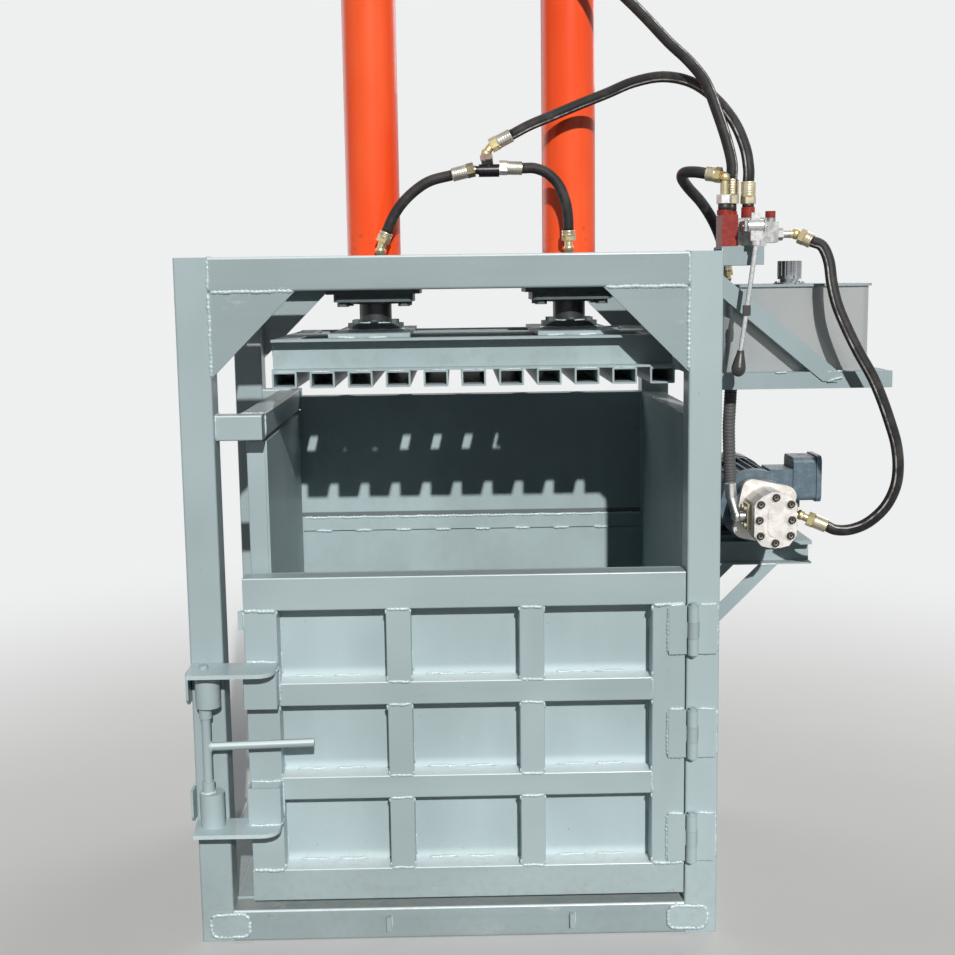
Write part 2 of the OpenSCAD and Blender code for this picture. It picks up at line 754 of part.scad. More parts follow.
// Platen
module platen_tubes() {
    color(paint) for (i = [0 : ptube_n - 1])
        tube_y([ptube_x0 + ptube_w / 2 + i * ptube_pitch, -platen_d / 2, platen_z + ptube_h / 2],
            platen_d, ptube_w, ptube_h, ptube_wall, 3);
}
module platen_channels() {
    color(paint) for (a = [0, 180])
        rotate([0, 0, a]) translate([a > 0 ? -2 * mid_x : 0, -platen_d / 2 + channel_b, channel_z])
            channel_x(ptube_x0, ptube_x0 + platen_w, channel_h, channel_b, channel_t);
}
module platen_beams() {
    tie = 60;
    y1 = platen_d / 2 - channel_b;
    color(paint) {
        for (s = [-1, 1])
            tube_x([ptube_x0, s * (cross_w + weld) / 2, channel_z + channel_h / 2], platen_w,
                cross_w, channel_h, 6, 4);
        for (x = concat([ptube_x0 + tie / 2, ptube_x0 + platen_w - tie / 2], cyl_xs), s = [-1, 1])
            tube_y([x, s > 0 ? cross_w + 2 * weld : -y1, channel_z + channel_h / 2],
                y1 - cross_w - 2 * weld, tie, channel_h, 5, 4);
        for (x = cyl_xs)
            slab([x - pad_w / 2, 5 - y1, pad_z + weld], [x + pad_w / 2, y1 - 5, pad_z + pad_t]);
    }
}
module rod_flanges() {
    bolt_c = 58;
    color(paint) for (x = cyl_xs) {
        difference() {
            cyl_z(x, 0, rod_z0, rod_z0 + rod_flange_t, rod_flange_r);
            cyl_z(x, 0, rod_z0 - 1, rod_z0 + rod_flange_t + 1, rod_r);
        }
        for (a = [30 : 60 : 330])
            hex(x + bolt_c * cos(a), bolt_c * sin(a), rod_z0 + rod_flange_t,
                rod_z0 + rod_flange_t + 9, 18);
    }
}
module piston_rods() {
    color(steel) for (x = cyl_xs)
        cyl_z(x, 0, rod_z0, piston_z, rod_r);
}
module pistons() {
    color(steel) for (x = cyl_xs)
        cyl_z(x, 0, piston_z, piston_z + piston_l, bore_r - run_gap);
}

// Cylinders
module cylinder_barrels() {
    color(orange) for (i = [0, 1]) {
        x = cyl_xs[i];
        difference() {
            union() {
                cyl_z(x, 0, beam_z, barrel_top, barrel_r);
                cyl_z(x, 0, barrel_top - 1, barrel_top + cap_t, barrel_r - 6);
                cyl_y(port_xs[i], port_z, -barrel_r - port_out, -10, 15);
                cyl_y(top_port_xs[i], top_port_z, -barrel_r - port_out, -10, 15);
            }
            cyl_z(x, 0, beam_z - 1, barrel_top - 20, bore_r);
        }
    }
}
module cylinder_heads() {
    head_w = flange_w - 36;
    head_z = flange_z - 20;
    bolt_c = head_w / 2 - 24;
    color(paint) for (x = cyl_xs) {
        difference() {
            union() {
                translate([x, 0, flange_z]) linear_extrude(flange_t)
                    round_rect(flange_w, flange_w, 8);
                translate([x, 0, head_z]) linear_extrude(20 + eps) round_rect(head_w, head_w, 16);
                cyl_z(x, 0, head_z - 6, head_z + eps, rod_r + 22);
            }
            cyl_z(x, 0, head_z - 7, beam_z + 1, rod_r + run_gap);
        }
        for (sx = [-1, 1], sy = [-1, 1])
            hex(x + sx * bolt_c, sy * bolt_c, head_z - 12, head_z, 27);
    }
}
module glands() {
    color(steel) for (x = cyl_xs)
        difference() {
            cyl_z(x, 0, beam_z, beam_z + gland_l, bore_r);
            cyl_z(x, 0, beam_z - 1, beam_z + gland_l + 1, rod_r + run_gap);
        }
}

// Power unit
module oil_tank() {
    color(paint) difference() {
        translate([tank_x0 + tank_w / 2, tank_y0 + tank_d / 2, shelf_z])
            linear_extrude(tank_h) round_rect(tank_w, tank_d, tank_r);
        translate([tank_x0 + tank_w / 2, tank_y0 + tank_d / 2, shelf_z + 4])
            linear_extrude(tank_h) round_rect(tank_w - 8, tank_d - 8, tank_r - 4);
        cyl_z(route_suction[0].x, route_suction[0].y, shelf_z - 1, shelf_z + 5, suction_r - 6);
    }
}
module tank_lid() {
    lip = 7;
    lid_t = 6;
    z = shelf_z + tank_h;
    color(paint) difference() {
        translate([tank_x0 + tank_w / 2, tank_y0 + tank_d / 2, z])
            linear_extrude(lid_t) round_rect(tank_w + 2 * lip, tank_d + 2 * lip, tank_r + lip);
        cyl_z(cap_x, cap_y, z - 1, z + lid_t + 1, cap_r - 8);
    }
    color(steel) for (a = [30 : 60 : 330])
        cyl_z(cap_x + (cap_r + 7) * cos(a), cap_y + (cap_r + 7) * sin(a), z + lid_t - 1, z + lid_t + 7, 2.5);
}
module filler_base() {
    z = shelf_z + tank_h + 6;
    color(steel) difference() {
        union() {
            cyl_z(cap_x, cap_y, z, z + 4, cap_r + 12);
            cyl_z(cap_x, cap_y, z + 3, z + 12, cap_r - 3);
        }
        cyl_z(cap_x, cap_y, z - 1, z + 13, cap_r - 8);
        for (a = [30 : 60 : 330])
            cyl_z(cap_x + (cap_r + 7) * cos(a), cap_y + (cap_r + 7) * sin(a), z - 1, z + 5, 2.6);
    }
}
module filler_cap() {
    z = shelf_z + tank_h + 6;
    color(steel) difference() {
        union() {
            cyl_z(cap_x, cap_y, z + 12 + run_gap, z + 56, cap_r + 3);
            cyl_z(cap_x, cap_y, z + 2, z + 20, cap_r - 8 - run_gap);
        }
        for (a = [0 : 20 : 340])
            cyl_z(cap_x + (cap_r + 5.5) * cos(a), cap_y + (cap_r + 5.5) * sin(a),
                z + 20, z + 60, 4);
        cyl_z(cap_x, cap_y, z + 52, z + 60, cap_r - 6);
    }
}

// Angle section along Y or X, its corner at the origin, legs towards +second axis and -Z
module angle_legs(l, t) {
    polygon([[0, 0], [l, 0], [l, -t], [t, -t], [t, -l], [0, -l]]);
}
module upper_shelf() {
    brace_w = 36;
    rise = frame_h - shelf_z - 54;
    run = shelf_x1 - out_x - 134;
    leg_z = rise - brace_w * 1.3;
    leg_x = (leg_z - 3) * (run - brace_w) / (leg_z + 22);
    side_l = -2 * shelf_y - 2 * angle_l - 2 * weld;
    color(paint) {
        for (side = [0, 1])
            mirror([0, side, 0]) translate([out_x, shelf_y, shelf_z])
                rotate([90, 0, 90]) linear_extrude(shelf_x1 - out_x) angle_legs(angle_l, angle_t);
        translate([out_x + 6, -shelf_y - angle_l - weld, shelf_z]) rotate([90, 0, 0])
            linear_extrude(side_l) angle_legs(bearer_l, angle_t);
        translate([shelf_x1, shelf_y + angle_l + weld, shelf_z]) rotate([90, 0, 180])
            linear_extrude(side_l) angle_legs(bearer_l, angle_t);
        for (y = [tank_y0 + 90, tank_y0 + 460])
            slab([out_x + 6 + bearer_l + weld, y, shelf_z - angle_t],
                [shelf_x1 - bearer_l - weld, y + bearer_w, shelf_z]);
        translate([out_x, shelf_y - weld, shelf_z]) rotate([90, 0, 0]) linear_extrude(angle_t)
            polygon([[0, rise], [0, rise - brace_w * 1.3], [run - brace_w, -22], [run, -26],
                [run + 14, -10], [brace_w * 0.2, rise]]);
        translate([out_x, shelf_y - weld + 26, shelf_z]) rotate([90, 0, 0]) linear_extrude(27)
            polygon([[0, leg_z], [leg_x, 3], [leg_x, 3 + 1.3 * angle_t], [0, leg_z + 1.3 * angle_t]]);
    }
}
module lower_shelf() {
    x0 = in_x + sheet_t + rib_s;
    z = plate_top - plate_t;
    color(paint) {
        slab([x0, low_shelf_y0, z], [low_shelf_x1, low_shelf_y1, plate_top]);
        translate([0, low_shelf_y0 + angle_l, z - low_channel_h])
            channel_x(x0, low_shelf_x1, low_channel_h - weld, angle_l, angle_t);
        translate([0, low_shelf_y1, z - low_channel_h])
            channel_x(x0, low_shelf_x1, low_channel_h - weld, angle_l, angle_t);
    }
}
module shelf_braces() {
    x0 = in_x + sheet_t + rib_s;
    z1 = plate_top - plate_t - low_channel_h;
    drop = z1 - brace_rib_z;
    w = 50;
    color(paint) for (y = [low_shelf_y0, low_shelf_y1 - angle_l]) {
        translate([0, y + angle_t, 0]) rotate([90, 0, 0]) linear_extrude(angle_t)
            polygon([[x0, brace_rib_z - w / 2], [x0, brace_rib_z + w / 2],
                [x0 + drop - w / 2, z1], [x0 + drop + w / 2, z1]]);
        translate([0, y + angle_l, 0]) rotate([90, 0, 0]) linear_extrude(angle_l - angle_t)
            polygon([[x0, brace_rib_z - w / 2], [x0, brace_rib_z - w / 2 + 6],
                [x0 + drop + w / 2 - 6, z1], [x0 + drop + w / 2, z1]]);
    }
}
module motor_body() {
    y0 = motor_y0 + end_bell_l;
    foot_w = 180;
    foot_l = 44;
    color(paint) difference() {
        union() {
            cyl_y(motor_x, motor_z, motor_y0, cowl_y0, motor_r);
            for (y = [motor_y0, cowl_y0 - end_bell_l])
                cyl_y(motor_x, motor_z, y, y + end_bell_l, motor_r + fin_h);
            translate([motor_x, y0 - eps, motor_z]) rotate([-90, 0, 0])
                linear_extrude(motor_l + 2 * eps)
                    for (i = [0 : fin_n - 1])
                        rotate(i * 360 / fin_n)
                            translate([motor_r - 3, -1.5]) square([fin_h + 3, 3]);
            for (y = [y0 + 20, y0 + motor_l - 20 - foot_l])
                slab([motor_x - foot_w / 2, y, plate_top],
                    [motor_x + foot_w / 2, y + foot_l, plate_top + 12]);
            for (x = [-50, 30], y = [y0 + 20, y0 + motor_l - 20 - foot_l])
                slab([motor_x + x, y, plate_top + 12 - eps],
                    [motor_x + x + 20, y + foot_l, motor_z - motor_r + 20]);
            slab([motor_x + 50, y0 + 30, motor_z + 15], [motor_x + 112, y0 + 130, motor_z + 85]);
        }
        cyl_y(motor_x, motor_z, motor_y0 - 1, cowl_y0 + 1, rotor_r + run_gap);
        cyl_y(motor_x, motor_z, y0 + 4, y0 + motor_l - 4, motor_r - 20);
    }
}
module terminal_box() {
    y0 = motor_y0 + end_bell_l + 25;
    x0 = motor_x + 112;
    color(paint) {
        translate([x0, y0 + 55, motor_z + 58]) rotate([90, 0, 90]) linear_extrude(62)
            round_rect(108, 116, 14);
        translate([x0 + 61, y0 + 55, motor_z + 58]) rotate([90, 0, 90]) linear_extrude(13)
            round_rect(116, 124, 18);
        cyl_z(x0 + 18, y0 + 55, motor_z - 24, motor_z + eps, 13);
    }
}
module motor_cowl() {
    color(paint) difference() {
        cyl_y(motor_x, motor_z, cowl_y0, cowl_y0 + cowl_l, motor_r + fin_h + 2);
        cyl_y(motor_x, motor_z, cowl_y0 - 1, cowl_y0 + cowl_l - 3, motor_r + fin_h - 1);
        for (ring = [[26, 8], [46, 12], [66, 18]], i = [0 : ring[1] - 1])
            cyl_y(motor_x + ring[0] * cos(i * 360 / ring[1]), motor_z + ring[0] * sin(i * 360 / ring[1]),
                cowl_y0 + cowl_l - 4, cowl_y0 + cowl_l + 1, 6);
    }
}

// Shaft, coupling and fan, which turn as one
module motor_rotor() {
    y1 = cowl_y0 + 50;
    color(steel) {
        cyl_y(motor_x, motor_z, bell_y0 + 12, y1, rotor_r);
        cyl_y(motor_x, motor_z, motor_y0 + end_bell_l + 10, motor_y0 + end_bell_l + motor_l - 10,
            motor_r - 22);
        cyl_y(motor_x, motor_z, bell_y0 + 16, motor_y0 - 8, 30);
        cyl_y(motor_x, motor_z, cowl_y0 + 12, y1, 26);
        for (i = [0 : 6])
            translate([motor_x, 0, motor_z]) rotate([0, i * 360 / 7, 0])
                slab([20, cowl_y0 + 14, -2], [fan_r, y1 - 2, 2]);
    }
}

// Gear pump and the bell housing that carries it
module pump_outline(inset = 0) {
    w = pump_w / 2 - inset;
    h = pump_h / 2 - inset;
    polygon([[-w, -h * 0.58], [-w * 0.66, -h * 0.92], [-w * 0.25, -h], [w * 0.25, -h],
        [w * 0.66, -h * 0.92], [w, -h * 0.58], [w, h * 0.58], [w * 0.62, h * 0.86],
        [w * 0.2, h], [-w * 0.2, h], [-w * 0.62, h * 0.86], [-w, h * 0.58]]);
}
module bell_housing() {
    color(paint) difference() {
        union() {
            cyl_y(motor_x, motor_z, bell_y0, bell_y0 + bell_l - 13, 78);
            cyl_y(motor_x, motor_z, bell_y0 + bell_l - 14, bell_y0 + bell_l, motor_r + fin_h);
        }
        cyl_y(motor_x, motor_z, bell_y0 + 8, bell_y0 + bell_l + 1, 50);
        slab([motor_x - 90, bell_y0 + 30, motor_z - 22], [motor_x + 90, bell_y0 + 66, motor_z + 22]);
    }
}
module gear_pump() {
    y1 = pump_y0 + cover_t;
    y2 = y1 + pump_body_l;
    color(alloy) {
        translate([motor_x, y2, motor_z]) rotate([90, 0, 0]) linear_extrude(pump_body_l - 3)
            pump_outline(1.5);
        translate([motor_x, y1 + 4, motor_z]) rotate([90, 0, 0]) linear_extrude(4) pump_outline(4);
        translate([motor_x, y2 - 1, motor_z]) rotate([-90, 12, 0]) linear_extrude(pump_plate_t + 1)
            round_rect(pump_w + 36, pump_h + 14, 26);
    }
}
module pump_cover() {
    y1 = pump_y0 + cover_t;
    boss_w = pump_w / 2 - 12;
    boss_h = pump_h / 2 - 13;
    color(alloy) {
        translate([motor_x, y1, motor_z]) rotate([90, 0, 0]) linear_extrude(cover_t) pump_outline();
        translate([motor_x, pump_y0 + 1, motor_z]) rotate([90, 0, 0]) linear_extrude(3.5)
            round_rect(38, 84, 18);
    }
    color(steel) for (p = [[0, boss_h], [0, -boss_h - 1], [boss_w, 0], [-boss_w, 0],
        [boss_w - 3, 39], [3 - boss_w, 39], [boss_w - 3, -39], [3 - boss_w, -39]])
        difference() {
            cyl_y(motor_x + p.x, motor_z + p.y, pump_y0 - 5, pump_y0 + 1, 8.5);
            cyl_y(motor_x + p.x, motor_z + p.y, pump_y0 - 6, pump_y0 - 1, 4);
        }
}
module pump_flanges() {
    y = pump_y0 + cover_t + 40;
    color(brass) for (s = [-1, 1]) {
        x = motor_x + s * (pump_w / 2 - 1.3);
        slab([min(x, x + s * 9), y - 26, motor_z - 32], [max(x, x + s * 9), y + 26, motor_z + 32]);
        for (dy = [-15, 15], dz = [-21, 21])
            translate([x + s * 9, y + dy, motor_z + dz]) rotate([0, s * 90, 0]) cylinder(h = 7, r = 6);
    }
}

// Hand valve
module valve_bracket() {
    z0 = valve_z - 44;
    color(paint) {
        slab([out_x, valve_y - 50, valve_z - 6], [out_x + 100, valve_y + 50, valve_z]);
        slab([out_x, valve_y - 50, z0], [out_x + 100, valve_y - 45, valve_z - 6]);
        slab([out_x, valve_y + 45, z0], [out_x + 100, valve_y + 50, valve_z - 6]);
    }
}
module control_valve() {
    x = out_x;
    color("firebrick") {
        slab([x + 2, valve_y - 38, valve_z], [x + 40, valve_y + 34, valve_z + 74]);
        cyl_z(x + 13, valve_y - 6, valve_z + 74 - eps, valve_z + 86, 17);
        cyl_z(x + 71, valve_y, valve_z + 66, valve_z + 92, 16);
        cyl_z(x + 36, valve_y + 24, valve_z + 74 - eps, valve_z + 84, 14);
        cyl_z(x + 123, valve_y - 6, valve_z + 56, valve_z + 82, 12);
    }
    color(paint) {
        slab([x + 40, valve_y - valve_half, valve_z], [x + valve_body_x, valve_y + valve_half, valve_z + 66]);
        slab([x + valve_body_x, valve_y - 28, valve_z + 8], [x + valve_end_x, valve_y + 24, valve_z + 56]);
        for (dx = [-26, 20])
            difference() {
                slab([lever_x + dx, lever_y - 10, lever_z - 12],
                    [lever_x + dx + 6, valve_y - valve_half + eps, lever_z + 12]);
                cyl_x(lever_y, lever_z, lever_x + dx - 1, lever_x + dx + 7, 4);
            }
        cyl_x(lever_y, lever_z, lever_x - 30, lever_x + 30, 4);
    }
    color(steel) {
        translate([x + valve_end_x - eps, valve_y, valve_z + 28]) rotate([0, 90, 0])
            cylinder(h = valve_stub_l, r = 15, $fn = 6);
        cyl_x(valve_y, valve_z + 28, x + valve_end_x + valve_stub_l - 2 * eps,
            x + valve_end_x + 2 * valve_stub_l, 9);
    }
}
module valve_lever() {
    x = lever_x;
    head_h = 34;
    top = [x + 4, lever_y, lever_z - head_h];
    tip = [x + 4 - lever_l * sin(lever_lean), lever_y, lever_z - head_h - lever_l * cos(lever_lean) + 40];
    color(steel) {
        difference() {
            union() {
                cyl_x(lever_y, lever_z, x - 18, x + 18, 15);
                slab([x - 12, lever_y - 10, lever_z - head_h], [x + 16, lever_y + 10, lever_z]);
                slab([x - 10, lever_y - 7, lever_z], [x + 10, lever_y + 7, lever_z + 30]);
            }
            cyl_x(lever_y, lever_z, x - 20, x + 20, 4 + run_gap);
        }
        bar(top + [0, 0, 2], tip, 5.5);
        cyl_z(top.x, top.y, top.z - 10, top.z + eps, 10);
    }
    color(rubber) {
        translate(tip) rotate([0, 180 + lever_lean, 0]) rotate_extrude()
            polygon([[0, -6], [8, -6], [9, 2], [11.5, 12], [14.5, 24], [16.5, 34], [16.5, 41],
                [14.5, 48], [10.5, 53], [5, 56], [0, 57]]);
        mid = top + (tip - top) * 0.62;
        translate(mid) slab([-8, -8, -12], [8, 8, 12]);
    }
}

// Ferrule, nut and pipe from a hose's end, straight on or over one corner to a seat
module fitting(end, next, corner, seat = undef, ferrule = 40, nut = 18, turn = 0) {
    d = (end - next) / norm(end - next);
    pipe_r = hose_r - 3;
    bar(end + d * 0.3, end + d * ferrule, hose_r + 3);
    bar(end + d * (ferrule - 2), end + d * (ferrule + nut), hose_r + 5, 6);
    bar(end + d * (ferrule + nut - 3), corner, pipe_r);
    if (!is_undef(seat)) {
        translate(corner) rotate(turn) sphere(pipe_r + 2.5);
        bar(corner, seat, pipe_r - 1);
    }
}
module tee(at) {
    bar(at - [26, 0, 0], at + [26, 0, 0], 16);
    bar(at, at + [-8, 0, 34], 14);
}
module brass_fittings() {
    boss_y = -barrel_r - port_out;
    lid_z = shelf_z + tank_h + 6;
    pump_y = pump_y0 + cover_t + 40;
    gap = 0.3;
    color(brass) {
        fitting(route_left[0], route_left[1], [port_xs[0], boss_y - 13, port_z],
            [port_xs[0], boss_y - gap, port_z], 18, 10);
        fitting(route_right[6], route_right[5], [port_xs[1], boss_y - 13, port_z],
            [port_xs[1], boss_y - gap, port_z], 16, 10);
        fitting(route_left[5], route_left[4], tee_at - [18, 0, 0]);
        fitting(route_right[0], route_right[1], tee_at + [18, 0, 0]);
        fitting(route_long[0], route_long[1], tee_at + [-8, 0, 42], tee_at + [-2, 0, 6]);
        tee(tee_at);
        fitting(route_long[12], route_long[11], [out_x + 71, valve_y, valve_z + 92 + gap],
            ferrule = 38, nut = 14);
        fitting(route_high[0], route_high[1], [out_x + 36, valve_y + 24, valve_z + 84 + gap]);
        fitting(route_high[13], route_high[12], high_tee_at + [4, 0, -42],
            high_tee_at - [0, 0, 8], 40, 14);
        bar(high_tee_at - [26, 0, 0], high_tee_at + [26, 0, 0], 16);
        fitting(route_cap_left[0], route_cap_left[1], high_tee_at - [18, 0, 0], ferrule = 34, nut = 16);
        fitting(route_cap_right[0], route_cap_right[1], high_tee_at + [18, 0, 0], ferrule = 34, nut = 16);
        fitting(route_cap_left[5], route_cap_left[4], [top_port_xs[0], boss_y - 13, top_port_z],
            [top_port_xs[0], boss_y - gap, top_port_z], 34, 16);
        fitting(route_cap_right[5], route_cap_right[4], [top_port_xs[1], boss_y - 13, top_port_z],
            [top_port_xs[1], boss_y - gap, top_port_z], 34, 16);
        fitting(route_return[0], route_return[1], [out_x + 13, valve_y - 6, valve_z + 162],
            [out_x + 13, valve_y - 6, valve_z + 86 + gap], 24, 12);
        fitting(route_return[8], route_return[7], [out_x + 62, tank_y0 + 175, lid_z + 16],
            [out_x + 62, tank_y0 + 175, lid_z + gap], 24, 10);
        fitting(route_pressure[0], route_pressure[1], [out_x + 186, valve_y, valve_z + 28],
            [out_x + valve_end_x + 2 * valve_stub_l + gap, valve_y, valve_z + 28], 20, 12, 90);
        fitting(route_pressure[17], route_pressure[16], [motor_x + 79, pump_y, motor_z],
            [motor_x + pump_w / 2 + 8, pump_y, motor_z], 36, 14, 90);
    }
    color(steel) {
        a = route_suction[0];
        b = route_suction[5];
        corner = [motor_x - 81, pump_y, motor_z];
        bar([a.x, a.y, a.z + gap + 1.5], [a.x, a.y, shelf_z - gap], suction_r - 3);
        bar(b - [0, 0, gap + 3], b - [-2, 2, 40], suction_r - 2);
        bar(b - [-2, 2, 38], corner, suction_r - 4);
        translate(corner) sphere(suction_r - 2);
        bar(corner, [motor_x - pump_w / 2 - 8, pump_y, motor_z], suction_r - 4);
    }
}

// Tube swept along a route, one ring of points at each point of the route
function unit(v) = v / norm(v);
function tangent(p, i) = unit(p[min(i + 1, len(p) - 1)] - p[max(i - 1, 0)]);
function ring(p, i, r, n) =
    let (t = tangent(p, i), side = unit(cross(t, [0.12, 1, 0.05])), up = cross(side, t))
    [for (k = [0 : n - 1]) p[i] + r * (cos(360 * k / n) * side + sin(360 * k / n) * up)];
module sweep(route, r, n = 8) {
    m = len(route);
    points = [for (i = [0 : m - 1]) each ring(route, i, r, n)];
    sides = [for (i = [0 : m - 2], k = [0 : n - 1])
        [i * n + k, i * n + (k + 1) % n, (i + 1) * n + (k + 1) % n, (i + 1) * n + k]];
    caps = [[for (k = [n - 1 : -1 : 0]) k], [for (k = [0 : n - 1]) (m - 1) * n + k]];
    polyhedron(points, concat(sides, caps), convexity = 4);
}
module pressure_hoses() {
    color(rubber) for (route = pressure_routes) sweep(route, hose_r);
}
module suction_hose() {
    color(rubber) sweep(route_suction, suction_r);
}

posts();
top_beams();
cylinder_beams();
gussets();
sills();
floor_joists();
floor_plate();
sill_patches();
left_upper_rail();
back_wall();
back_liner();
back_ribs();
right_wall();
right_ribs();
side_door_sheet();
side_door_frame();
side_hinge_fixed();
side_hinge_moving();
door_stiles();
door_rails();
door_mullions();
door_sheet();
post_hinge_leaves();
door_hinge_leaves();
hinge_pins();
latch_keepers();
latch_arms();
latch_blocks();
latch_shaft();
latch_barrels();
platen_tubes();
platen_channels();
platen_beams();
rod_flanges();
piston_rods();
pistons();
cylinder_barrels();
cylinder_heads();
glands();
oil_tank();
tank_lid();
filler_base();
filler_cap();
upper_shelf();
lower_shelf();
shelf_braces();
motor_body();
motor_cowl();
motor_rotor();
terminal_box();
bell_housing();
gear_pump();
pump_cover();
pump_flanges();
control_valve();
valve_bracket();
valve_lever();
brass_fittings();
pressure_hoses();
suction_hose();
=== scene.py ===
# %% [markdown]
# Dressing a baler. The machine is a press for cardboard and film: a painted frame of square tube,
# a hinged front door, a hinged side door, a ribbed platen on two long cylinders, and a power unit
# on shelves at the right. Its exact shapes come from a CAD model, which is loaded here as a frame
# and never moved. This lesson adds what CAD leaves out: weld beads, hoses with a true round
# section, paint, plating, rubber, and the light. Everything is in metres, +X right, -Y to the
# viewer. Only the lists of hose points, seams, sleeves and screws are in millimetres, as on a
# drawing.

# %% Load the CAD frame
import math
import random

import bpy
from mathutils import Matrix, Vector


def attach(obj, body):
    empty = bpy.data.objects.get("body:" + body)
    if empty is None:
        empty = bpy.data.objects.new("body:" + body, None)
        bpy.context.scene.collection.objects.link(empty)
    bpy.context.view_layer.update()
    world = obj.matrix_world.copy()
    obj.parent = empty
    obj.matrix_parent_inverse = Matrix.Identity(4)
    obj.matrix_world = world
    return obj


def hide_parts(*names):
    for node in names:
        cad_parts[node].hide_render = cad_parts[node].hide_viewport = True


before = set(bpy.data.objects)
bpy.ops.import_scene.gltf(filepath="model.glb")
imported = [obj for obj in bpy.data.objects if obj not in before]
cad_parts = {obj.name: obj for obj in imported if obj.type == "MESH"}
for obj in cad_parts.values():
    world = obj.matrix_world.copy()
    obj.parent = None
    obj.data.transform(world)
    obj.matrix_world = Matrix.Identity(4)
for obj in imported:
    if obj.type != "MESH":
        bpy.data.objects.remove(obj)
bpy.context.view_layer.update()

# %% [markdown]
# The camera stands where a person stood to look at the machine: a bit over three metres in front of
# it, at eye height, turned down by eight degrees. The three angles are turned into the camera's own
# axes with plain vector sums, because a camera in Blender looks along its local -Z.

# %% Camera
def camera_matrix(place, yaw, pitch, roll):
    yaw, pitch, roll = (math.radians(a) for a in (yaw, pitch, roll))
    ahead = Vector((math.sin(yaw) * math.cos(pitch), math.cos(yaw) * math.cos(pitch), -math.sin(pitch)))
    level = Vector((math.cos(yaw), -math.sin(yaw), 0))
    below = ahead.cross(level)
    right = level * math.cos(roll) + below * math.sin(roll)
    down = below * math.cos(roll) - level * math.sin(roll)
    turn = Matrix((right, -down, -ahead)).transposed().to_4x4()
    return Matrix.Translation(place) @ turn


eye = (0.0158, -3.6337, 1.6147)
lens = bpy.data.cameras.new("camera")
lens.lens = 51.11
lens.sensor_width = 36
lens.clip_end = 60
camera = bpy.data.objects.new("camera", lens)
bpy.context.collection.objects.link(camera)
camera.matrix_world = camera_matrix(eye, yaw=0.783, pitch=8.193, roll=0.796)
bpy.context.scene.camera = camera
print("camera at", [round(v, 3) for v in camera.location])

# %% [markdown]
# A material in Blender is a graph of nodes. Drawing it with code is easier to read if a socket acts
# like a number, so this small class wraps one and gives it the plus, minus, times and so on. A
# number that meets a number stays in Python; only what varies over the surface becomes a node.

# %% Sockets that can be added and multiplied
class Signal:
    def __init__(self, graph, socket):
        self.graph, self.socket = graph, socket

    def _math(self, operation, *values):
        return self.graph.node("ShaderNodeMath", {"operation": operation}, dict(enumerate(values)))

    def __add__(self, other):
        return self._math("ADD", self, other)

    def __radd__(self, other):
        return self._math("ADD", other, self)

    def __sub__(self, other):
        return self._math("SUBTRACT", self, other)

    def __rsub__(self, other):
        return self._math("SUBTRACT", other, self)

    def __mul__(self, other):
        return self._math("MULTIPLY", self, other)

    def __gt__(self, other):
        return self._math("GREATER_THAN", self, other)

    def __lt__(self, other):
        return self._math("LESS_THAN", self, other)

    def max(self, other):
        return self._math("MAXIMUM", self, other)

    def min(self, other):
        return self._math("MINIMUM", self, other)

    def abs(self):
        return self._math("ABSOLUTE", self)


class Graph:
    """A node tree, and the one way to add a node to it."""

    def __init__(self, tree):
        self.tree = tree

    def node(self, kind, settings=None, inputs=None, out=0):
        node = self.tree.nodes.new(kind)
        for key, value in (settings or {}).items():
            setattr(node, key, value)
        for key, value in (inputs or {}).items():
            self.feed(node.inputs[key], value)
        return Signal(self, node.outputs[out])

    def feed(self, socket, value):
        if isinstance(value, Signal):
            self.tree.links.new(value.socket, socket)
        elif hasattr(value, "__len__") and len(value) == 3 and socket.type == "RGBA":
            socket.default_value = (*value, 1)
        else:
            socket.default_value = value

    # One where an eye, a mirror or a glass sees the surface, nought where it only gives light
    def looked_at(self):
        eye, mirror, glass = (self.node("ShaderNodeLightPath", out=f"Is {kind} Ray")
                              for kind in ("Camera", "Glossy", "Transmission"))
        return eye.max(mirror).max(glass)


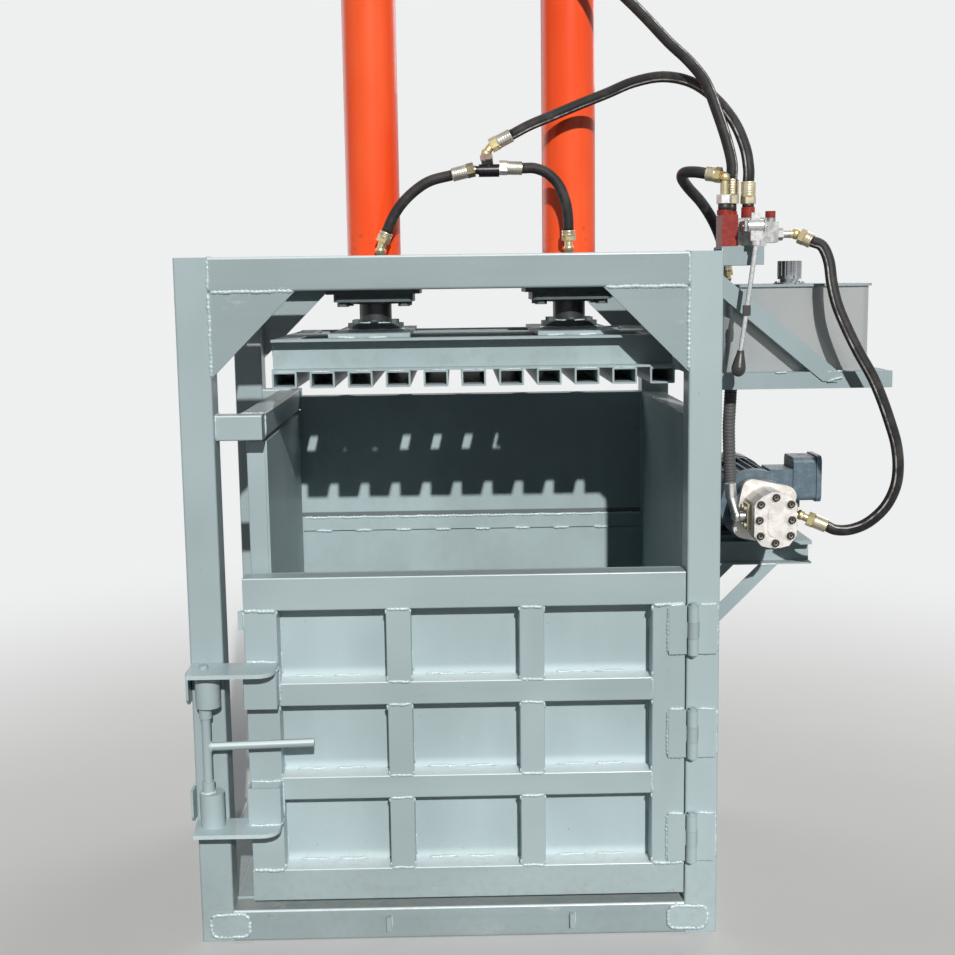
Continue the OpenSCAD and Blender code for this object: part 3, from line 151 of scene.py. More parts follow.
class Finish(Graph):
    """One material, and the textures that the paints and metals share."""

    def __init__(self, name):
        self.material = bpy.data.materials.new(name)
        self.material.use_nodes = True
        super().__init__(self.material.node_tree)
        self.shader = self.tree.nodes["Principled BSDF"]

    def set(self, **values):
        for name, value in values.items():
            self.feed(self.shader.inputs[name.replace("_", " ")], value)

    # The textures read the object's own coordinates, which are metres here
    def noise(self, scale, detail=3, rough=0.55, stretch=(1, 1, 1)):
        spot = self.node("ShaderNodeTexCoord", out="Object")
        place = self.node("ShaderNodeMapping", {}, {"Vector": spot, "Scale": stretch})
        return self.node("ShaderNodeTexNoise", {}, {"Vector": place, "Scale": scale,
                                                    "Detail": detail, "Roughness": rough}, out="Fac")

    def blend(self, amount, first, second):
        return self.node("ShaderNodeMix", {"data_type": "RGBA"}, {0: amount, 6: first, 7: second}, out=2)

    def step(self, signal, low, high):
        return self.node("ShaderNodeMapRange", {"interpolation_type": "SMOOTHSTEP"},
                         {"Value": signal, "From Min": low, "From Max": high})

    def axis(self, letter):
        spot = self.node("ShaderNodeTexCoord", out="Object")
        return self.node("ShaderNodeSeparateXYZ", {}, {0: spot}, out=letter)

    def facing(self, letter):
        normal = self.node("ShaderNodeNewGeometry", out="Normal")
        return self.node("ShaderNodeSeparateXYZ", {}, {0: normal}, out=letter)

    # The piece's own front, which turns with a door
    def own_front(self):
        normal = self.node("ShaderNodeTexCoord", out="Normal")
        return self.node("ShaderNodeSeparateXYZ", {}, {0: normal}, out="Y") < -0.5

    # Brown oil stains
    def oiled(self, tint, share):
        return self.blend(self.step(self.noise(24, 4, 0.7), 0.55, 0.68) * share, tint, (0.07, 0.055, 0.04))

    def bump(self, height, depth, strength):
        self.set(Normal=self.node("ShaderNodeBump", {}, {"Strength": strength, "Distance": depth,
                                                         "Height": height}))


print("shader helpers ready")

# %% [markdown]
# Shop paint on a machine like this is one coat of blue-grey enamel, sprayed by hand over mill scale
# and welds. Up close it has orange peel, faint bands where the spray passes overlap, dust where it
# faces up, mud and scuffs low down, and pinpricks of dark primer; its upper edges are paler, a
# painted highlight. The same recipe serves the frame, the doors, the platen and the shelves, and only
# its numbers differ: how bright, how worn, how dusty, how glossy. How bright each part's copy is
# stands partly for painted light and shade. A few parts add a mark of their own: a pale band of
# painted highlight at the feet of the door's panels, painted highlights on the upper faces of its
# rails, a painted shadow line on the back wall over the liner, haze on the beams, and a paler right
# side of the frame as painted highlight. A share scales the enamel, run stretches the bands of spray
# along X, Y and Z, shadow_line is a pair of heights, and the other numbers say how strong a mark is.

# %% Enamel paint
enamel = (0.364, 0.451, 0.473)
dust_tint, mud_tint, primer_tint = (0.50, 0.49, 0.45), (0.27, 0.26, 0.235), (0.075, 0.068, 0.062)
edge_highlight_tint, scuff_tint, haze_tint = (0.74, 0.83, 0.86), (0.62, 0.66, 0.66), (0.56, 0.60, 0.60)
foot_highlight_tint, ledge_highlight_tint = (0.60, 0.70, 0.73), (0.78, 0.86, 0.88)
shadow_line_tint, soot_tint = (0.07, 0.075, 0.08), (0.20, 0.21, 0.21)
bay_feet = (0.185, 0.4223, 0.6597)
highlit_ledges_below = 0.80
mud_full, mud_end = 0.02, 0.30
lit_side_start, lit_side_full = 0.30, 0.56


def scaled(shade, factor):
    return [min(1, c * factor) for c in shade]


def painted(name, share=1.0, wear=0.5, soot=0.0, gloss=0.34, shine=0.4, run=(1.0, 1.0, 0.22),
            haze=0.0, dusty=0.42, edge=0.8, right=0.0, highlit_ledges=False, highlit_feet=False, shadow_line=None):
    f = Finish(name)
    shade = scaled(enamel, share)
    fine = f.noise(46, 4, 0.65)
    height, up = f.axis("Z"), f.facing("Z")
    broad = f.step(f.noise(2.2, 2), 0.32, 0.68)
    passes = f.step(f.noise(5, 3, 0.6, run), 0.42, 0.72)
    tint = f.blend(broad, scaled(shade, 0.90), scaled(shade, 1.07))
    tint = f.blend(passes * 0.45, tint, scaled(shade, 1.16))
    # Painted highlight: a pale band just above the foot of each panel, on its front
    if highlit_feet:
        for foot in bay_feet:
            foot_highlight = 1 - f.step((height - foot - 0.004).abs(), 0.003, 0.024)
            tint = f.blend(foot_highlight * f.own_front() * 0.62, tint, foot_highlight_tint)
    # Painted highlight: the paint turns paler towards the right, where more light fell on the frame
    if right:
        tint = f.blend(f.step(f.axis("X"), lit_side_start, lit_side_full) * right, tint, scaled(shade, 1.35))
    dust = f.step(up, 0.55, 0.95) * f.step(fine, 0.35, 0.62) * dusty
    tint = f.blend(dust, tint, dust_tint)
    # Painted highlight: upper edges, where a rounded corner would catch the light, turn pale and glossy
    edge_highlight = f.step(up, 0.10, 0.40) * (1 - f.step(up, 0.86, 0.985))
    tint = f.blend(edge_highlight * edge, tint, edge_highlight_tint)
    # Painted highlight: the upper faces of the door's rails below 0.8 m, where light falls on them
    if highlit_ledges:
        tint = f.blend(f.step(up, 0.90, 0.98) * (height < highlit_ledges_below) * 0.85, tint, ledge_highlight_tint)
    mud = (1 - f.step(height, mud_full, mud_end)) * f.step(fine, 0.42, 0.66) * 0.40 * wear
    tint = f.blend(mud, tint, mud_tint)
    chips = f.step(f.noise(155, 2, 0.5), 0.735 - 0.02 * wear, 0.76) * f.step(fine, 0.50, 0.62)
    tint = f.blend(chips * 0.8, tint, primer_tint)
    scuff = f.step(f.noise(9, 5, 0.75, (1, 1, 3.2)), 0.635, 0.70) * f.step(fine, 0.50, 0.60)
    tint = f.blend(scuff * 0.30 * wear, tint, scuff_tint)
    if haze:
        smear = f.step(f.noise(4.5, 6, 0.7, (0.8, 1, 2.6)), 0.57, 0.68) * f.step(fine, 0.38, 0.62)
        tint = f.blend(smear * haze, tint, haze_tint)
    # Painted shadow: a dark line on a wall's front between two heights, the shade in a narrow recess at a
    # sheet's edge
    if shadow_line:
        low, high = shadow_line
        shadow_line_mask = f.step(height, low, low + 0.001) * (1 - f.step(height, high - 0.004, high))
        tint = f.blend(shadow_line_mask * f.own_front() * 0.75, tint, shadow_line_tint)
    if soot:
        tint = f.blend(f.step(f.noise(30, 3), 0.45, 0.7) * soot, tint, soot_tint)
    f.set(Base_Color=tint, Metallic=0.0, Roughness=gloss + fine * 0.16 + dust * 0.5 - edge_highlight * 0.12,
          Coat_Weight=shine * 0.5, Coat_Roughness=0.16, Specular_IOR_Level=shine)
    f.bump(f.noise(210, 2) * 0.55 + f.noise(14, 2) * 0.9, depth=0.0011, strength=0.4)
    return f.material


frame_paint = painted("frame_paint", 0.93, right=0.45)
beam_paint = painted("beam_paint", 0.79, run=(0.12, 1.0, 2.6), haze=0.55)
# The panels' copy carries the painted highlight bands at their feet
panel_paint = painted("panel_paint", 1.06, wear=0.6, highlit_feet=True)
door_paint = painted("door_paint", 0.98, wear=0.7, dusty=0.10)
# Painted light: the latch arms wear a lighter copy of the enamel, as light falls on their tops
arm_paint_lit = painted("arm_paint_lit", 1.26, wear=0.7, dusty=0.05)
# The rails' copy carries the painted highlight on their upper faces
rail_paint = painted("rail_paint", 0.96, wear=0.7, run=(0.18, 1.0, 2.2), dusty=0.15, highlit_ledges=True)
platen_paint = painted("platen_paint", 0.97, wear=0.8, soot=0.15, shine=0.15)
# Painted shade: the cylinder heads and rod flanges stand in the top beam's shade, so they wear a very dark
# copy, heavy soot included, without edge highlight
head_paint_shaded = painted("head_paint_shaded", 0.32, wear=0.8, soot=0.35, gloss=0.40, shine=0.10, dusty=0.10, edge=0.1)
inner_paint = painted("inner_paint", 1.02, wear=0.9, soot=0.08, gloss=0.42, shine=0.10)
# The back wall's copy carries a painted shadow line over the liner
wall_paint = painted("wall_paint", 1.02, wear=0.9, soot=0.08, gloss=0.42, shine=0.10, shadow_line=(0.9285, 0.944))
shelf_paint = painted("shelf_paint", 0.96, gloss=0.44, shine=0.10)
# Painted highlight: the weld beads wear a lighter copy of the enamel, as their glossy bumps catch the light
bead_paint_highlit = painted("bead_paint_highlit", 1.24, wear=0.3, gloss=0.24, dusty=0.10, edge=0.5)
print("enamel", enamel)

# %% [markdown]
# The oil tank wears a slightly warmer, silvery grey and the motor a darker blue-grey, both dusty on
# top. The cylinders are a bright orange-red, cloudy like primer and dirty near their lower ends.

# %% Other paints
def tank_finish():
    f = Finish("tank_paint")
    sheen = f.noise(3.2, 3, 0.6, (1, 1, 0.7))
    fine = f.noise(60, 4)
    tint = f.blend(f.step(sheen, 0.35, 0.66), (0.300, 0.335, 0.345), (0.375, 0.395, 0.395))
    dust = f.step(f.facing("Z"), 0.6, 0.95) * f.step(fine, 0.4, 0.6) * 0.45
    tint = f.blend(dust, tint, (0.46, 0.45, 0.41))
    f.set(Base_Color=tint, Metallic=0.18, Roughness=0.26 + fine * 0.12, Coat_Weight=0.30)
    f.bump(f.noise(180, 2) * 0.3 + f.noise(6, 2) * 1.4, depth=0.0010, strength=0.35)
    return f.material


def cylinder_finish(dirty_end=1.66, clean_from=1.84):
    f = Finish("cylinder_paint")
    cloud = f.noise(4.0, 3, 0.6, (1, 1, 0.35))
    fine = f.noise(70, 4, 0.6)
    tint = f.blend(f.step(cloud, 0.35, 0.68), (0.93, 0.072, 0.010), (0.98, 0.120, 0.030))
    grime = f.step(fine, 0.56, 0.72) * (1 - f.step(f.axis("Z"), dirty_end, clean_from)) * 0.55
    tint = f.blend(grime, tint, (0.10, 0.045, 0.03))
    f.set(Base_Color=tint, Roughness=0.30 + fine * 0.14, Coat_Weight=0.20, Specular_IOR_Level=0.15)
    f.bump(f.noise(170, 2) * 0.5 + f.noise(9, 2) * 1.6, depth=0.0009, strength=0.4)
    return f.material


def motor_finish():
    f = Finish("motor_paint")
    fine = f.noise(55, 4, 0.6)
    tint = f.blend(f.step(fine, 0.4, 0.7), (0.085, 0.135, 0.175), (0.130, 0.185, 0.225))
    tint = f.blend(f.step(f.facing("Z"), 0.5, 0.95) * 0.30, tint, (0.36, 0.35, 0.32))
    f.set(Base_Color=tint, Roughness=0.40 + fine * 0.2, Coat_Weight=0.1)
    f.bump(f.noise(140, 3), depth=0.0014, strength=0.6)
    return f.material


tank_paint, cylinder_paint, motor_paint = tank_finish(), cylinder_finish(), motor_finish()
print("three more paints")

# %% [markdown]
# Metals differ mostly in roughness and in what varies over them. Chrome is even and sharp. Bare
# steel and plating have brown oil marks. Cast alloy is grainy and pale. Yellow zinc on steel
# fittings shimmers between straw and green-grey, which a noise between two tints gives.

# %% Bare and plated metals
def metal(name, light, dark, rough, grain, bump=0.0003, metallic=1.0, oily=0.0):
    f = Finish(name)
    cloud = f.noise(grain * 0.22, 3)
    fine = f.noise(grain, 4, 0.6)
    tint = f.blend(f.step(cloud, 0.35, 0.65), dark, light)
    if oily:
        tint = f.oiled(tint, oily)
    f.set(Base_Color=tint, Metallic=metallic, Roughness=rough + fine * 0.22)
    f.bump(fine, bump, strength=0.7)
    return f.material


# Painted reflection: the cap's chrome is darker than chrome, standing for the dark surroundings it reflects
cap_chrome = metal("cap_chrome", (0.44, 0.45, 0.46), (0.28, 0.29, 0.30), rough=0.08, grain=90, bump=0.0001)
bright_steel = metal("bright_steel", (0.58, 0.585, 0.59), (0.42, 0.425, 0.43), rough=0.22, grain=120,
                     oily=0.3)
cast_alloy = metal("cast_alloy", (0.80, 0.77, 0.73), (0.64, 0.61, 0.58), rough=0.34, grain=190,
                   bump=0.0008, metallic=0.40, oily=0.12)
pale_zinc = metal("pale_zinc", (0.58, 0.56, 0.50), (0.42, 0.40, 0.34), rough=0.20, grain=110,
                  metallic=0.95, oily=0.30)
straw_zinc = metal("straw_zinc", (0.66, 0.58, 0.42), (0.50, 0.44, 0.31), rough=0.20, grain=110,
                   metallic=0.95, oily=0.25)
flange_beige = metal("flange_beige", (0.50, 0.44, 0.32), (0.36, 0.33, 0.25), rough=0.42, grain=90,
                     bump=0.0005, metallic=0.35, oily=0.25)
brown_nut = metal("brown_nut", (0.50, 0.36, 0.31), (0.36, 0.26, 0.23), rough=0.30, grain=90,
                  metallic=0.7, oily=0.2)
dark_bolt = metal("dark_bolt", (0.060, 0.056, 0.052), (0.030, 0.028, 0.026), rough=0.34, grain=120,
                  metallic=0.8)
print("plated and bare metals")

# %% [markdown]
# Some pieces carry several finishes in one solid: the hand valve is part red enamel and part cast
# grey, the rods are chrome painted nearly black at their lower ends as painted shade, the lever ends
# in a black knob, and among the yellow zinc fittings the pump's elbow is silver, the lower tee black,
# one of its nuts olive and the other bright. A mask made from the position splits them and keeps the
# solid whole.

# %% The split finishes of fittings, valve, rods and lever
pump_elbow_right, pump_elbow_top = 0.76, 1.14
tee_x, tee_z, tee_reach, tee_radius = 0.1005, 1.893, 0.0555, 0.022
olive_nut_right, bright_nut_left = 0.070, 0.1295
red_body_right, red_plugs_low = 0.6801, 1.7562
valve_end_left, valve_end_top = 0.7783, 1.745
rod_shade_top, rod_lit_from = 1.60, 1.72
clip_z, clip_half, knob_top = 1.5405, 0.0125, 1.4485


def fitting_finish():
    f = Finish("yellow_zinc")
    x, z = f.axis("X"), f.axis("Z")
    fine = f.noise(70, 4, 0.6)
    tint = f.blend(f.step(f.noise(15.4, 3), 0.35, 0.65), (0.44, 0.41, 0.28), (0.60, 0.50, 0.27))
    tint = f.blend((x < pump_elbow_right) * (z < pump_elbow_top), tint, (0.60, 0.60, 0.59))
    tint = f.oiled(tint, 0.30)
    tee = ((z - tee_z).abs() < tee_radius) * ((x - tee_x).abs() < tee_reach)
    tint = f.blend(tee, tint, (0.030, 0.028, 0.030))
    tint = f.blend(tee * (x < olive_nut_right), tint, (0.20, 0.18, 0.11))
    tint = f.blend(tee * (x > bright_nut_left), tint, (0.76, 0.76, 0.75))
    f.set(Base_Color=tint, Metallic=0.95, Roughness=0.20 + fine * 0.22)
    f.bump(fine, depth=0.0003, strength=0.7)
    return f.material


def valve_finish():
    f = Finish("valve_body")
    x, z = f.axis("X"), f.axis("Z")
    fine = f.noise(90, 4, 0.6)
    red = ((x < red_body_right) + (z > red_plugs_low)).min(1.0)
    cast = f.blend(f.step(fine, 0.35, 0.7), (0.24, 0.245, 0.245), (0.42, 0.42, 0.415))
    coat = f.blend(f.step(fine, 0.35, 0.7), (0.235, 0.020, 0.016), (0.335, 0.035, 0.026))
    tint = f.blend(red, cast, coat)
    tint = f.blend((x > valve_end_left) * (z < valve_end_top), tint, (0.46, 0.46, 0.46))
    tint = f.blend(f.step(f.noise(38, 4, 0.7), 0.56, 0.68) * 0.5, tint, (0.05, 0.04, 0.035))
    f.set(Base_Color=tint, Metallic=(1 - red) * 0.55, Roughness=0.32 + fine * 0.25,
          Coat_Weight=red * 0.1, Specular_IOR_Level=0.25)
    f.bump(fine, depth=0.0007, strength=0.6)
    return f.material


def rod_finish():
    f = Finish("rod_chrome")
    # Painted shade: below the heads the rods go nearly black and dull, where they stand in the top beam's
    # shade
    shaded_end = 1 - f.step(f.axis("Z"), rod_shade_top, rod_lit_from)
    fine = f.noise(60, 4, 0.6)
    tint = f.blend(f.step(fine, 0.35, 0.65), (0.40, 0.405, 0.41), (0.54, 0.55, 0.56))
    tint = f.blend(shaded_end * 0.95, tint, (0.016, 0.021, 0.023))
    f.set(Base_Color=tint, Metallic=1 - shaded_end * 0.9, Roughness=0.10 + fine * 0.10 + shaded_end * 0.25)
    return f.material


def lever_finish():
    f = Finish("lever")
    z = f.axis("Z")
    fine = f.noise(150, 3, 0.6)
    black = ((z < knob_top) + ((z - clip_z).abs() < clip_half)).min(1.0)
    tint = f.blend(f.step(fine, 0.3, 0.7), (0.50, 0.50, 0.50), (0.68, 0.68, 0.68))
    tint = f.blend(black, tint, (0.030, 0.029, 0.028))
    f.set(Base_Color=tint, Metallic=1 - black, Roughness=0.20 + fine * 0.12 + black * 0.10)
    f.bump(fine, depth=0.0003, strength=0.5)
    return f.material


yellow_zinc, valve_body = fitting_finish(), valve_finish()
rod_chrome, lever_steel = rod_finish(), lever_finish()
print("split finishes")

# %% [markdown]
# Hose cover is black rubber with the faint print of the cloth it was cured in, and dust on top. The
# stripe is a pale line printed on three of the hoses, half rubbed off.

# %% Rubber
def rubber(name, shade):
    f = Finish(name)
    fine = f.noise(420, 2, 0.6)
    soft = f.noise(26, 4, 0.65)
    tint = f.blend(f.step(soft, 0.42, 0.70) * 0.55, (shade, shade, shade * 1.05), (0.075, 0.072, 0.066))
    tint = f.blend(f.step(f.facing("Z"), 0.3, 0.95) * 0.30, tint, (0.16, 0.15, 0.135))
    f.set(Base_Color=tint, Roughness=0.42 + soft * 0.22, Specular_IOR_Level=0.25)
    f.bump(fine + soft * 0.6, depth=0.0006, strength=0.5)
    return f.material


def pale_stripe():
    f = Finish("hose_stripe")
    worn = f.step(f.noise(34, 4, 0.7), 0.40, 0.60)
    f.set(Base_Color=f.blend(worn * 0.8, (0.62, 0.61, 0.59), (0.06, 0.058, 0.055)), Roughness=0.5)
    return f.material


hose_rubber, hose_stripe = rubber("hose_rubber", 0.018), pale_stripe()
print("rubber ready")

# %% [markdown]
# Each CAD node keeps its shape and gets its finish. Sheet metal never ends in a perfect edge, so
# every plate and casting gets a small bevel that catches the light, limited to sharp corners. A
# node that isn't in the list wears the frame's paint.

# %% Dress the CAD nodes
finishes = [
    (beam_paint, ["top_beams", "sills", "gussets"]),
    (wall_paint, ["back_wall"]),
    (inner_paint, ["back_liner", "right_wall", "floor_plate", "side_door_sheet"]),
    (rail_paint, ["door_rails"]),
    (door_paint, ["door_stiles", "door_mullions", "door_hinge_leaves",
                  "latch_blocks", "latch_shaft", "latch_barrels", "side_door_frame", "side_hinge_moving",
                  "hinge_pins"]),
    (arm_paint_lit, ["latch_arms"]),
    (panel_paint, ["door_sheet"]),
    (platen_paint, ["platen_tubes", "platen_channels", "platen_beams"]),
    (head_paint_shaded, ["rod_flanges", "cylinder_heads"]),
    (shelf_paint, ["upper_shelf", "lower_shelf", "shelf_braces", "valve_bracket", "tank_lid"]),
    (tank_paint, ["oil_tank"]),
    (motor_paint, ["motor_body", "motor_cowl", "terminal_box", "bell_housing"]),
    (cylinder_paint, ["cylinder_barrels"]),
    (rod_chrome, ["piston_rods"]),
    (cap_chrome, ["filler_cap", "filler_base"]),
    (bright_steel, ["glands", "pistons", "motor_rotor"]),
    (cast_alloy, ["gear_pump", "pump_cover"]),
    (flange_beige, ["pump_flanges"]),
    (yellow_zinc, ["brass_fittings"]),
    (valve_body, ["control_valve"]),
    (lever_steel, ["valve_lever"]),
]
finish_of = {node: coat for coat, nodes in finishes for node in nodes}
no_bevel = {"motor_body", "motor_rotor", "pistons", "glands", "piston_rods", "pressure_hoses",
            "suction_hose"}
small_castings = {"brass_fittings", "filler_cap", "filler_base", "pump_cover", "pump_flanges",
                  "valve_lever", "control_valve"}
small_edge, plate_edge, sharp_corner = 0.0009, 0.0014, math.radians(40)


def soften(piece, width):
    edge = piece.modifiers.new("edge", "BEVEL")
    edge.width, edge.segments = width, 2
    edge.limit_method, edge.angle_limit = "ANGLE", sharp_corner


for name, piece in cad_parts.items():
    piece.data.materials.clear()
    piece.data.materials.append(finish_of.get(name, frame_paint))
    if name not in no_bevel:
        soften(piece, small_edge if name in small_castings else plate_edge)
print(len(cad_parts), "CAD nodes dressed")

# %% [markdown]
# A hose is a tube swept along a smooth line. The points are the ones CAD uses, in millimetres. A
# Catmull-Rom curve passes through every point, so the hose runs where the CAD solid runs, and its
# ring of points always starts on the viewer's side, so the long hoses turn their pale stripe there.

# %% Hose routes
routes = {
    "left": [(-160, -106, 1745), (-142, -108, 1783), (-117, -110, 1818), (-82, -112, 1850),
             (-44, -114, 1872), (10, -115, 1885)],
    "right": [(188, -115, 1900), (222, -114, 1899), (256, -113, 1884), (283, -111, 1854),
              (299, -109, 1814), (305, -107, 1778), (306, -105, 1744)],
    "long": [(161, -117, 1982), (205, -121, 2004), (259, -128, 2025), (330, -139, 2052),
             (400, -153, 2077), (463, -175, 2100), (531, -205, 2108), (594, -240, 2090),
             (645, -282, 2046), (684, -325, 1985), (705, -355, 1922), (711, -370, 1872),
             (711, -370, 1842)],
    "high": [(676, -346, 1850), (676, -346, 1888), (664, -338, 1942), (645, -325, 2005),
             (620, -300, 2080), (585, -270, 2134), (540, -240, 2184), (492, -215, 2242),
             (440, -190, 2300), (384, -168, 2354), (326, -148, 2400), (262, -132, 2438),
             (195, -122, 2463), (132, -117, 2480)],
    "cap_left": [(-26, -115, 2556), (-66, -114, 2552), (-106, -113, 2556), (-146, -111, 2570),
                 (-177, -108, 2598), (-192, -106, 2634)],
    "cap_right": [(142, -115, 2556), (182, -114, 2552), (222, -113, 2556), (262, -111, 2570),
                  (293, -108, 2598), (308, -106, 2634)],
    "return": [(612, -366, 1862), (584, -352, 1867), (566, -322, 1867), (568, -284, 1857),
               (592, -240, 1836), (630, -208, 1802), (664, -186, 1756), (688, -172, 1704),
               (696, -168, 1656)],
    "pressure": [(861, -383, 1700), (884, -392, 1688), (897, -405, 1652), (901, -420, 1602),
                 (911, -434, 1550), (932, -444, 1496), (960, -450, 1439), (993, -452, 1382),
                 (1018, -450, 1328), (1040, -446, 1272), (1058, -440, 1220), (1068, -430, 1165),
                 (1068, -414, 1112), (1052, -392, 1060), (1020, -366, 1018), (985, -341, 996),
                 (952, -324, 992), (930, -318, 1001)],
    "suction": [(692, -290, 1350), (690, -290, 1305), (688, -290, 1255), (689, -290, 1205),
                (691, -290, 1155), (693, -291, 1112)],
}
mm_per_m = 1000


def smooth_line(points, steps):
    pts = [Vector(p) / mm_per_m for p in points]
    pts = [2 * pts[0] - pts[1]] + pts + [2 * pts[-1] - pts[-2]]
    line = []
    for a, b, c, d in zip(pts, pts[1:], pts[2:], pts[3:]):
        for k in range(steps):
            t = k / steps
            line.append(0.5 * ((2 * b) + (c - a) * t + (2 * a - 5 * b + 4 * c - d) * t * t
                               + (3 * b - a - 3 * c + d) * t ** 3))
    return line + [pts[-2]]


def heading(line, i):
    return (line[min(i + 1, len(line) - 1)] - line[max(i - 1, 0)]).normalized()


def ring_axes(line, i):
    ahead, viewer = heading(line, i), Vector((0, -1, 0))
    front = (viewer - ahead * viewer.dot(ahead)).normalized()
    return front, ahead.cross(front)


def circle(middle, radius, one, two, sides):
    return [middle + radius * (math.cos(a) * one + math.sin(a) * two)
            for a in (2 * math.pi * k / sides for k in range(sides))]


# The walls between the rings first, then the two ends
def tube_faces(rings, sides, start=0):
    faces = []
    for low in range(start, start + (rings - 1) * sides, sides):
        for k in range(sides):
            n = (k + 1) % sides
            faces.append((low + k, low + n, low + sides + n, low + sides + k))
    faces.append(tuple(start + k for k in reversed(range(sides))))
    faces.append(tuple(start + (rings - 1) * sides + k for k in range(sides)))
    return faces


def new_piece(name, points, faces, *coats):
    mesh = bpy.data.meshes.new(name)
    mesh.from_pydata(points, [], faces)
    for coat in coats:
        mesh.materials.append(coat)
    piece = bpy.data.objects.new(name, mesh)
    bpy.context.collection.objects.link(piece)
    return piece


print(len(routes), "hose routes")

# %% [markdown]
# The pressure hoses are smooth, 27 mm over the cover. The suction hose is a steel spiral under a
# thin skin, so its radius goes up and down along the line, once in every four rings.

# %% Hoses
hose_sides, stripe_side = 24, 2
smooth_steps, spiral_steps = 5, 24
hose_wide, suction_wide, spiral_depth = 0.027, 0.032, 0.0016
striped = {"long", "high", "pressure"}


def smooth_radius(i):
    return hose_wide / 2


def spiral_radius(i):
    return suction_wide / 2 - spiral_depth * (0.5 - 0.5 * math.cos(i * math.pi / 2))


# A second coat goes on as the stripe
def swept(name, line, radius_at, *coats):
    points = []
    for i, middle in enumerate(line):
        points += circle(middle, radius_at(i), *ring_axes(line, i), hose_sides)
    piece = new_piece(name, points, tube_faces(len(line), hose_sides), *coats)
    walls = (len(line) - 1) * hose_sides
    for j, face in enumerate(piece.data.polygons):
        face.use_smooth = j < walls
        if len(coats) > 1 and j < walls and j % hose_sides == stripe_side:
            face.material_index = 1
    return piece


def length_of(line):
    return sum((b - a).length for a, b in zip(line, line[1:]))


for name, points in routes.items():
    if name == "suction":
        line = smooth_line(points, spiral_steps)
        piece = swept("hose_suction", line, spiral_radius, rubber("suction_skin", 0.10))
        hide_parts("suction_hose")
    else:
        line = smooth_line(points, smooth_steps)
        coats = [hose_rubber, hose_stripe] if name in striped else [hose_rubber]
        piece = swept(f"hose_{name}", line, smooth_radius, *coats)
        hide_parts("pressure_hoses")
    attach(piece, "frame")
    tuple(line[0])
    length_of(line)
    [tuple(p) for p in line]
    print(f"{piece.name}: {length_of(line):.3f} m")

# %% [markdown]
# Weld beads are what makes a fabricated machine look real. A hand-laid bead is a row of overlapping
# puddles, a few millimetres wide, that wanders a little and thins out at its ends. Each bead here is
# a thin swept tube whose radius rises and falls with the puddles; it sits half sunk in the seam. All
# the beads of one body are one mesh, so they move with it. Most seams run along an axis, and three
# short helpers draw those.

# %% Bead maker
dice = random.Random(11)
bead_parts = {}
bead_sides, bead_pitch, circle_steps = 6, 3.2, 28
end_share, end_growth, unevenness = 0.45, 0.3, 0.17
puddle_beat, slow_beat, quick_beat = 1.9, 0.23, 0.61
slow_drift, quick_drift = 0.0006, 0.0004


def bead(body, *path, width=5.0, lump=0.24):
    pts = [Vector(p) / mm_per_m for p in path]
    line = []
    for a, b in zip(pts, pts[1:]):
        count = max(2, int((b - a).length * mm_per_m / bead_pitch))
        line += [a.lerp(b, k / count) for k in range(count)]
    line.append(pts[-1])
    points, faces = bead_parts.setdefault(body, ([], []))
    start = len(points)
    beat = dice.uniform(0, 6)
    wander = dice.uniform(0, 6)
    for i, middle in enumerate(line):
        ahead = heading(line, i)
        other = Vector((0, 0, 1)) if abs(ahead.z) < 0.9 else Vector((1, 0, 0))
        one = ahead.cross(other).normalized()
        two = ahead.cross(one)
        thin = min(1.0, end_share + end_growth * min(i, len(line) - 1 - i))
        puddle = 1 + 0.55 * lump * math.sin(i * puddle_beat + beat) + dice.uniform(-unevenness, unevenness)
        drift = (slow_drift * math.sin(i * slow_beat + wander)
                 + quick_drift * math.sin(i * quick_beat + beat))
        points += circle(middle + drift * (one + two), width / 2 / mm_per_m * thin * puddle,
                         one, two, bead_sides)
    faces += tube_faces(len(line), bead_sides, start)


def along_x(body, x0, x1, y, z, **more):
    bead(body, (x0, y, z), (x1, y, z), **more)


def along_y(body, x, y0, y1, z, **more):
    bead(body, (x, y0, z), (x, y1, z), **more)


def along_z(body, x, y, z0, z1, **more):
    bead(body, (x, y, z0), (x, y, z1), **more)


def ring_bead(body, centre, radius, axis="z", width=5.0):
    x, y, z = centre
    loop = []
    for k in range(circle_steps + 1):
        a = 2 * math.pi * k / circle_steps
        u, v = radius * math.cos(a), radius * math.sin(a)
        loop.append((x + u, y + v, z) if axis == "z" else (x, y + u, z + v))
    bead(body, *loop, width=width)


def stitches(body, start, end, run, pitch, **more):
    a, b = Vector(start), Vector(end)
    total = (b - a).length
    s = run * 0.4
    while s + run < total:
        bead(body, a.lerp(b, s / total), a.lerp(b, (s + run) / total), **more)
        s += pitch


print("bead maker ready")

# %% [markdown]
# The frame's seams: posts to beams, gussets, the carriers of the cylinders, the corner patches over
# the sill joints, and the ribs of the walls.

